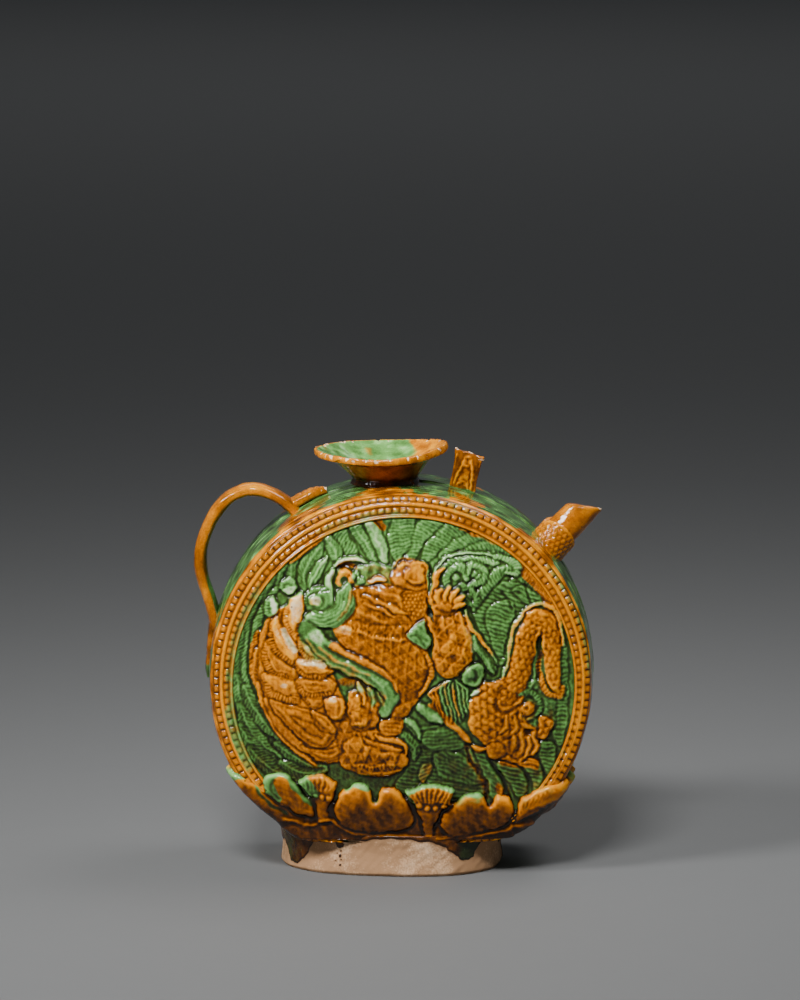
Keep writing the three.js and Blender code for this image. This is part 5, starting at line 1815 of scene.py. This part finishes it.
@dataclass(frozen=True)
class Handle:
    """Strap handle with a leaf at its upper foot and a tail down the wall."""

    stand: float = 25.0
    width: float = 13.0
    thickness: float = 6.0
    steps: int = 220
    sides: int = 56
    route: tuple[Point, ...] = ((-79, -0.18), (-75.5, -0.02), (-73, 0.08), (-69.2, 0.26), (-66, 0.46),
        (-62.6, 0.65), (-58.8, 0.8), (-54.8, 0.9), (-50.1, 0.98), (-45.7, 1.0), (-42, 0.93), (-38.9, 0.78),
        (-36.3, 0.52), (-34.3, 0.2), (-33, -0.14))
    leaf_route: tuple[Point, ...] = (
        (-34.5, 0.02), (-32.5, 0.1), (-29.5, 0.1), (-27, 0.1), (-24.5, 0.08), (-22.4, 0.04),
    )
    tail_route: tuple[Point, ...] = (
        (-74, 0.04), (-78, 0.02), (-82, 0.01), (-86, 0.0), (-90, 0.02), (-92.8, 0.0),
    )

    def strap(self, name: str, route: tuple[Point, ...], widths: tuple, thicknesses: tuple,
            steps: int) -> tuple[Array, Array, Array]:
        """Places of a strap along a route over the flask's outline.

        Args:
            name: Name of the piece, for its own unevenness.
            route: Degrees from the top and shares of the stand.
            widths: Half widths along the strap.
            thicknesses: Half thicknesses along the strap.
            steps: Sections along it.

        Returns:
            Vertices, share along the strap, and direction round the section.
        """
        turn = np.radians([place[0] for place in route])
        reach = FORM.outline(turn) + self.stand * np.array([place[1] for place in route])
        middle = smooth_line(np.stack([reach * np.sin(turn), reach * np.cos(turn)], -1), steps)
        way = np.gradient(middle, axis=0)
        way /= np.linalg.norm(way, axis=1)[:, None]
        along = np.linspace(0, 1, steps)
        half_width = smooth_line(np.array(widths)[:, None], steps)
        half_thick = smooth_line(np.array(thicknesses)[:, None], steps)
        spin = np.linspace(0, math.tau, self.sides, endpoint=False)[None, :]
        wide = squared(np.cos(spin), 0.6) * half_width
        thick = squared(np.sin(spin), 0.75) * half_thick
        thick = thick * (1 + 0.12 * np.cos(spin * 2) ** 2)
        seed = sum(map(ord, name))
        skin = np.stack(np.broadcast_arrays(middle[:, :1], middle[:, 1:], wide), -1)
        lump = 0.16 * wobble(skin, 9.0, seed) + 0.07 * wobble(skin, 2.6, seed + 1)
        wide, thick = wide + lump * np.cos(spin), thick + lump * np.sin(spin)
        x = middle[:, :1] - way[:, 1:] * thick
        z = middle[:, 1:] + way[:, :1] * thick
        places = np.stack([x + FORM.middle_x, wide, z + FORM.middle_z], -1)
        share, spin = np.broadcast_arrays(along[:, None], spin)
        return places, share, spin

    def build(self) -> list[bpy.types.Object]:
        """Builds the strap, its leaf and its tail."""
        half, thick = self.width / 2, self.thickness / 2
        widths = (half * 1.35, half * 1.1, half, half, half, half, half * 1.1, half * 1.35)
        pieces = []
        depths = (thick * 0.95,) * 8
        places, share, spin = self.strap("handle_bent_strap", self.route, widths, depths, self.steps)
        places[..., 0] = np.maximum(places[..., 0], -FORM.half_width)
        mark = Mark.plain(places.shape[:2])
        inward = rise(-np.sin(spin), 0.1, 0.8)
        mark.green[:] = 0.9 * inward * (1 - rise(share, 0.22, 0.42)) + 0.4 * rise(share, 0.9, 1.0)
        # Darker on the side that faces the flask: painted shade.
        mark.tone[:] = 0.10 - 0.4 * inward + 0.18 * wobble(places, 12.0, 61)
        pieces.append(swept_piece("handle_bent_strap", places, False, mark))
        leaf = (half * 0.8, half * 0.95, half * 0.8, half * 0.55, half * 0.2)
        depths = (2.0, 2.4, 2.2, 1.8, 1.0)
        places, share, spin = self.strap("handle_leaf", self.leaf_route, leaf, depths, 90)
        comb = 1 - hollow(Texture.COMB, share * 22, spin, 3.0)
        vein = 0.5 * hump(places[..., 1], 1.0) + 0.35 * comb
        places[..., 2] += vein * rise(np.sin(spin), 0, 0.5)
        mark = Mark.plain(places.shape[:2])
        mark.tone[:] = 0.3 * vein
        mark.clay[:] = rise(share, 0.80, 0.9) * rise(wobble(places, 2.5, 63), -0.2, 0.3)
        pieces.append(swept_piece("handle_leaf", places, False, mark))
        tail = (half * 1.0, half * 0.95, half * 0.8, half * 0.65, half * 0.4)
        depths = (1.8, 1.8, 1.6, 1.6, 1.2)
        places, share, spin = self.strap("handle_tail", self.tail_route, tail, depths, 100)
        mark = Mark.plain(places.shape[:2])
        mark.green[:] = rise(share, 0.62, 0.85)
        mark.tone[:] = -0.1 + 0.2 * wobble(places, 5.0, 64)
        pieces.append(swept_piece("handle_tail", places, False, mark))
        return pieces


@dataclass(frozen=True)
class Spout:
    """Short slanting spout in a moulded scaly sleeve."""

    tip_radius: float = 7.6
    root_radius: float = 8.5
    bore: float = 4.9
    length: float = 31.4
    angle: float = math.radians(49.7)
    lean: float = math.radians(-6.8)
    cut_slope: float = math.radians(11)
    cut_back: float = math.radians(8)
    sleeve_thickness: float = 1.1
    sleeve_length: float = 13.0
    sleeve_arch: float = 6.0
    columns: int = 180

    def axes(self) -> tuple[Array, Array, Array]:
        """Root of the spout's axis, its direction, and the direction across it to the underside."""
        reach = float(FORM.outline(np.array(self.angle)))
        across, up = reach * math.sin(self.angle), reach * math.cos(self.angle)
        root = np.array([across + FORM.middle_x, 0, up + FORM.middle_z])
        way = np.array([math.sin(self.angle + self.lean), 0, math.cos(self.angle + self.lean)])
        return root, way, np.array([way[2], 0, -way[0]])

    def lay(self, radius: Array, height: Array, turn: Array) -> Array:
        """Vertices from places round and along the spout's axis.

        Args:
            radius: Distance from the axis.
            height: Distance along it from the root.
            turn: Angle round it, from the underside.

        Returns:
            Coordinates in millimetres.
        """
        root, way, under = self.axes()
        side = np.array([0, 1.0, 0])
        below, beside = (radius * np.cos(turn))[..., None], (radius * np.sin(turn))[..., None]
        return root + way * height[..., None] + under * below + side * beside

    def tube(self) -> bpy.types.Object:
        """Builds the tube with its slanting chipped mouth."""
        root, way, under = self.axes()
        up = np.array([math.sin(self.cut_slope), math.sin(self.cut_back), math.cos(self.cut_slope)])
        up /= np.linalg.norm(up)
        mouth = root + under * self.tip_radius + way * self.length
        turn = round_angles(self.columns)[:, None]
        rows_out, rows_in = np.linspace(-0.35, 1, 60), np.linspace(1, -0.3, 22)
        share = np.concatenate([rows_out, [1.0, 1.0, 1.0, 1.0], rows_in])[None, :]
        rim = np.concatenate([np.zeros(60), [0.15, 0.38, 0.62, 0.85], np.ones(22)])[None, :]
        turn, share, rim = np.broadcast_arrays(turn, share, rim)
        outer = self.root_radius + (self.tip_radius - self.root_radius) * np.clip(share, 0, 1)
        radius = outer * (1 - rim) + self.bore * rim
        spot = self.lay(radius, np.zeros(turn.shape), turn)
        full = ((mouth - spot) @ up) / (way @ up)
        around = np.stack([np.cos(turn), np.sin(turn), share * 3], -1) * 8
        crown = np.sin(math.pi * rim) * 0.5
        chip = rise(wobble(around, 2.4, 71), 0.25, 0.8) * rise(share, 0.9, 1.0)
        full = full + crown - 0.9 * chip - 0.4
        height = np.where(share < 0, share * self.length, share * full)
        radius = radius + 0.14 * wobble(around, 5.0, 72) + 0.05 * wobble(around, 1.6, 73)
        radius = radius - 0.5 * rise(share, 0.96, 1.0) * (1 - rim)
        places = self.lay(radius, height, turn)
        places[..., 0] = np.minimum(places[..., 0], FORM.half_width)
        mark = Mark.plain(places.shape[:2])
        tip = rise(np.cos(turn), 0.55, 0.95)
        worn = tip * rise(wobble(around, 3.0, 74), -0.6, 0.2)
        mark.clay[:] = rise(share, 0.95, 1.0) * np.clip(worn + chip, 0, 1)
        # Darker inside the bore: painted shade.
        mark.tone[:] = 0.1 + 0.2 * wobble(places, 7.0, 75) - 0.9 * rise(rim, 0.8, 1.0)
        return swept_piece("slanting_spout", places, True, mark)

    def sleeve(self) -> bpy.types.Object:
        """Builds the scaly sleeve with its arched end."""
        turn = round_angles(self.columns)[:, None]
        rows = 70
        share = np.concatenate([np.linspace(-0.45, 1, rows), [1.0, -0.4]])[None, :]
        turn, share = np.broadcast_arrays(turn, share)
        facing = np.abs(np.sin(turn))
        end = self.sleeve_length + (facing - 1) * self.sleeve_arch
        height = np.where(share < 0, share * self.sleeve_length, share * end)
        skin = np.arange(rows + 2)[None, :] < rows
        arc = turn * self.root_radius
        scale = 1 - hollow(Texture.SCALES, height, arc, 2.6)
        arch = hump(end - height - 0.9, 0.8)
        lift = self.sleeve_thickness + 0.55 * scale * (1 - arch) + 0.6 * arch
        lift = lift * (1 - 0.55 * rise(share, 0.97, 1.0))
        body = self.root_radius - 0.9 * np.clip(height / self.length, 0, 1)
        radius = body + np.where(skin, lift, -0.4)
        places = self.lay(radius, height, turn)
        mark = Mark.plain(places.shape[:2])
        mark.tone[:] = np.where(skin, 0.7 * (scale - 0.55) * (1 - arch) + 0.5 * arch, 0)
        return swept_piece("spout_scaly_sleeve", places, True, mark)

    def build(self) -> list[bpy.types.Object]:
        """Builds the tube and the sleeve."""
        return [self.tube(), self.sleeve()]


@dataclass(frozen=True)
class Lug:
    """Broken stump of a strap on the shoulder, with an incised loop on its front."""

    height: float = 19.0
    width: float = 15.0
    thickness: float = 5.4
    angle: float = math.radians(18.6)
    lean: float = math.radians(12)
    turn: float = math.radians(-9)
    rows: int = 80
    sides: int = 120
    top_rings: int = 10
    loop: tuple[Ridge, ...] = (
        Ridge(((-4.6, 1.0), (-3.4, 8.0), (-1.4, 15.0), (0.2, 16.6), (1.8, 15.0), (3.6, 8.0), (4.8, 1.0)),
            0.6, 0.7),
        Ridge(((-2.4, 2.0), (-1.2, 8.0), (0.2, 12.5), (1.6, 8.0), (2.8, 2.0)), 0.5, 0.55),
        Ridge(((-3.0, 1.0), (0.2, 4.2), (3.4, 1.0)), 0.5, 0.5), Ridge(((0.2, 5.0), (0.2, 10.5)), 0.4, 0.5),
        Ridge(((-6.6, 0.0), (-6.4, 17.5)), 0.5, 0.5), Ridge(((6.8, 0.0), (6.8, 16.5)), 0.5, 0.5),
    )

    def build(self) -> bpy.types.Object:
        """Builds the lug."""
        share = np.concatenate([np.linspace(-0.22, 1, self.rows), np.ones(self.top_rings)])[:, None]
        shrink = np.concatenate([np.ones(self.rows), np.linspace(0.96, 0.02, self.top_rings)])[:, None]
        spin = np.linspace(0, math.tau, self.sides, endpoint=False)[None, :]
        standing = np.clip(share, 0, 1)
        half = self.width / 2 * (0.9 + 0.12 * standing**2 - 0.05 * np.sin(math.pi * standing))
        across = squared(np.cos(spin), 0.45) * half
        deep = squared(np.sin(spin), 0.5) * self.thickness / 2 * np.ones_like(share)
        across, deep = across * shrink, deep * shrink
        up = share * self.height * np.ones_like(spin)
        clay = Clay((-9, -6), (9, 22), 0.12, edge=0.3)
        clay.green[:] = 0.0
        for form in self.loop:
            form.press(clay)
        clay.settle(0.15)
        front = rise(-deep, self.thickness / 2 * 0.55, self.thickness / 2 * 0.95) * (shrink > 0.99)
        way = np.stack([across, deep, up], -1)
        deep = deep - front * clay.sample(clay.relief, across, up) + 0.12 * wobble(way, 5.0, 81)
        across = across + 0.15 * wobble(way, 4.0, 82)
        top = rise(share, 0.93, 1.0) * np.ones_like(spin)
        rough = wobble(way, 3.0, 83) + 0.5 * wobble(way, 1.2, 84)
        chip = rise(across, 1.5, 6.5) * top
        up = up + top * (0.35 * rough - 0.6) - 1.6 * chip - 0.10 * across * top
        foot = float(FORM.outline(np.array(self.angle)))
        x = across * math.cos(self.turn) - deep * math.sin(self.turn)
        y = across * math.sin(self.turn) + deep * math.cos(self.turn)
        right = x * math.cos(self.lean) + up * math.sin(self.lean) + foot * math.sin(self.angle)
        high = up * math.cos(self.lean) - x * math.sin(self.lean) + foot * math.cos(self.angle)
        places = np.stack([right + FORM.middle_x, y, high + FORM.middle_z], -1)
        mark = Mark.plain(places.shape[:2])
        mark.tone[:] = front * clay.sample(clay.tone, across, up) + 0.15 * wobble(places, 6.0, 85)
        mark.green[:] = 0.8 * rise(2.0 - up, 0, 3) + 0.25 * rise(wobble(places, 4.0, 86), 0.2, 0.9)
        mark.clay[:] = np.clip(top * rise(rough + chip, 0.2, 0.9) + 0.9 * chip, 0, 1)
        return swept_piece("shoulder_lug_stump", places, False, mark)


@dataclass(frozen=True)
class Studio:
    """Pale floor, soft lights and the camera."""

    distance: float = 2.3518
    rise_up: float = 0.5765
    pitch: float = math.radians(9.507)
    yaw: float = math.atan(1 / 4800)
    lens: float = 172.8
    sensor: float = 36.0
    floor_reach: float = 14.0
    floor_drop: float = 0.0002
    air: tuple = (0.9, 0.95, 1.0, 1.0)
    air_strength: float = 0.1

    def camera(self) -> None:
        """Sets the camera at the photograph's angle."""
        data = bpy.data.cameras.new("camera")
        data.lens, data.sensor_width = self.lens, self.sensor
        camera = bpy.data.objects.new("camera", data)
        camera.location = (FORM.middle_x * MM, -self.distance, self.rise_up)
        camera.rotation_euler = (math.pi / 2 - self.pitch, 0, self.yaw)
        bpy.context.scene.collection.objects.link(camera)
        bpy.context.scene.camera = camera

    def light(self, name: str, spot: tuple, target: tuple, size: Point, power: float,
            spread: float = 180.0) -> None:
        """Hangs a soft light.

        Args:
            name: Name of the light.
            spot: Where it hangs, in metres.
            target: What it points at.
            size: Width and height of its face.
            power: Watts.
            spread: Width of its beam in degrees.
        """
        data = bpy.data.lights.new(name, "AREA")
        data.shape, data.size, data.size_y, data.energy = "RECTANGLE", size[0], size[1], power
        data.spread = math.radians(spread)
        lamp = bpy.data.objects.new(name, data)
        lamp.location = spot
        lamp.rotation_euler = (Vector(target) - Vector(spot)).to_track_quat("-Z", "Y").to_euler()
        bpy.context.scene.collection.objects.link(lamp)

    def build(self) -> None:
        """Sets up floor, lights, surroundings and camera."""
        mesh = bpy.data.meshes.new("pale_floor")
        reach = self.floor_reach
        mesh.from_pydata([(-reach, -reach, 0), (reach, -reach, 0), (reach, reach, 0), (-reach, reach, 0)],
            [], [(0, 1, 2, 3)])
        floor = bpy.data.objects.new("pale_floor", mesh)
        floor.location.z = -self.floor_drop
        bpy.context.scene.collection.objects.link(floor)
        mesh.materials.append(PaleFloor().material())
        middle = (0.0, 0.0, 0.1)
        self.light("key_light", (-0.85, -0.55, 0.95), middle, (0.3, 0.3), 4.6, 100.0)
        self.light("front_light", (-0.22, -0.85, 1.1), middle, (0.36, 0.22), 3.5, 80.0)
        self.light("top_light", (0.35, 0.15, 0.85), (0.05, 0.0, 0.1), (0.4, 0.3), 3.2)
        self.light("backdrop_light", (0.0, 5.0, 3.0), (0.0, 5.0, 0.0), (3.0, 1.5), 19.0)
        world = bpy.data.worlds.new("studio_air")
        world.use_nodes = True
        background = world.node_tree.nodes["Background"]
        background.inputs[0].default_value = self.air
        background.inputs[1].default_value = self.air_strength
        bpy.context.scene.world = world
        self.camera()


class Ewer:
    """The whole ewer: builds each sub-assembly and dresses it in its glaze."""

    def __init__(self) -> None:
        """Mixes the glazes."""
        self.glazes = {
            "green_amber_glaze": SancaiGlaze("green_amber_glaze", streaks=0.08).material(),
            "lotus_glaze": SancaiGlaze("lotus_glaze", streaks=0.2, mottle=0.16).material(),
            "bare_clay": SancaiGlaze("bare_clay", streaks=0.3, gloss=0.26).material(),
            "mouth_glaze": SancaiGlaze("mouth_glaze", streaks=0.2).material(),
            "amber_glaze": SancaiGlaze("amber_glaze", streaks=0.22).material(),
        }

    def dress(self, piece: bpy.types.Object, slot: str, *nodes: str) -> None:
        """Glazes a piece and puts it in the place of its CAD nodes.

        Args:
            piece: The new piece.
            slot: Material slot of the record.
            nodes: CAD nodes that it stands for.
        """
        piece.data.materials.append(self.glazes[slot])
        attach(piece, "root")
        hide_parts(*nodes)
        log.info("%s: %d faces for %s", piece.name, len(piece.data.polygons), ", ".join(nodes))

    def build(self) -> None:
        """Builds and dresses every piece."""
        clay = Creature().mould()
        for back in (False, True):
            side = "back" if back else "front"
            for piece in Face(clay, back).build():
                self.dress(piece, "green_amber_glaze", f"{side}_body_half")
            self.dress(LotusCollar(back).build(), "lotus_glaze", f"{side}_lotus_collar")
        self.dress(Foot().build(), "bare_clay", "foot_ring")
        self.dress(DishMouth().build(), "mouth_glaze", "dish_mouth")
        for piece, node in zip(Handle().build(), ("handle_strap", "handle_upper_leaf", "handle_lower_tail")):
            self.dress(piece, "amber_glaze", node)
        for piece, node in zip(Spout().build(), ("spout_tube", "spout_sleeve")):
            self.dress(piece, "amber_glaze", node)
        self.dress(Lug().build(), "amber_glaze", "shoulder_lug")


def main() -> None:
    """Builds the scene in order."""
    logging.basicConfig(level=logging.INFO, format="%(message)s")
    Studio().build()
    Ewer().build()


if __name__ == "__main__":
    main()
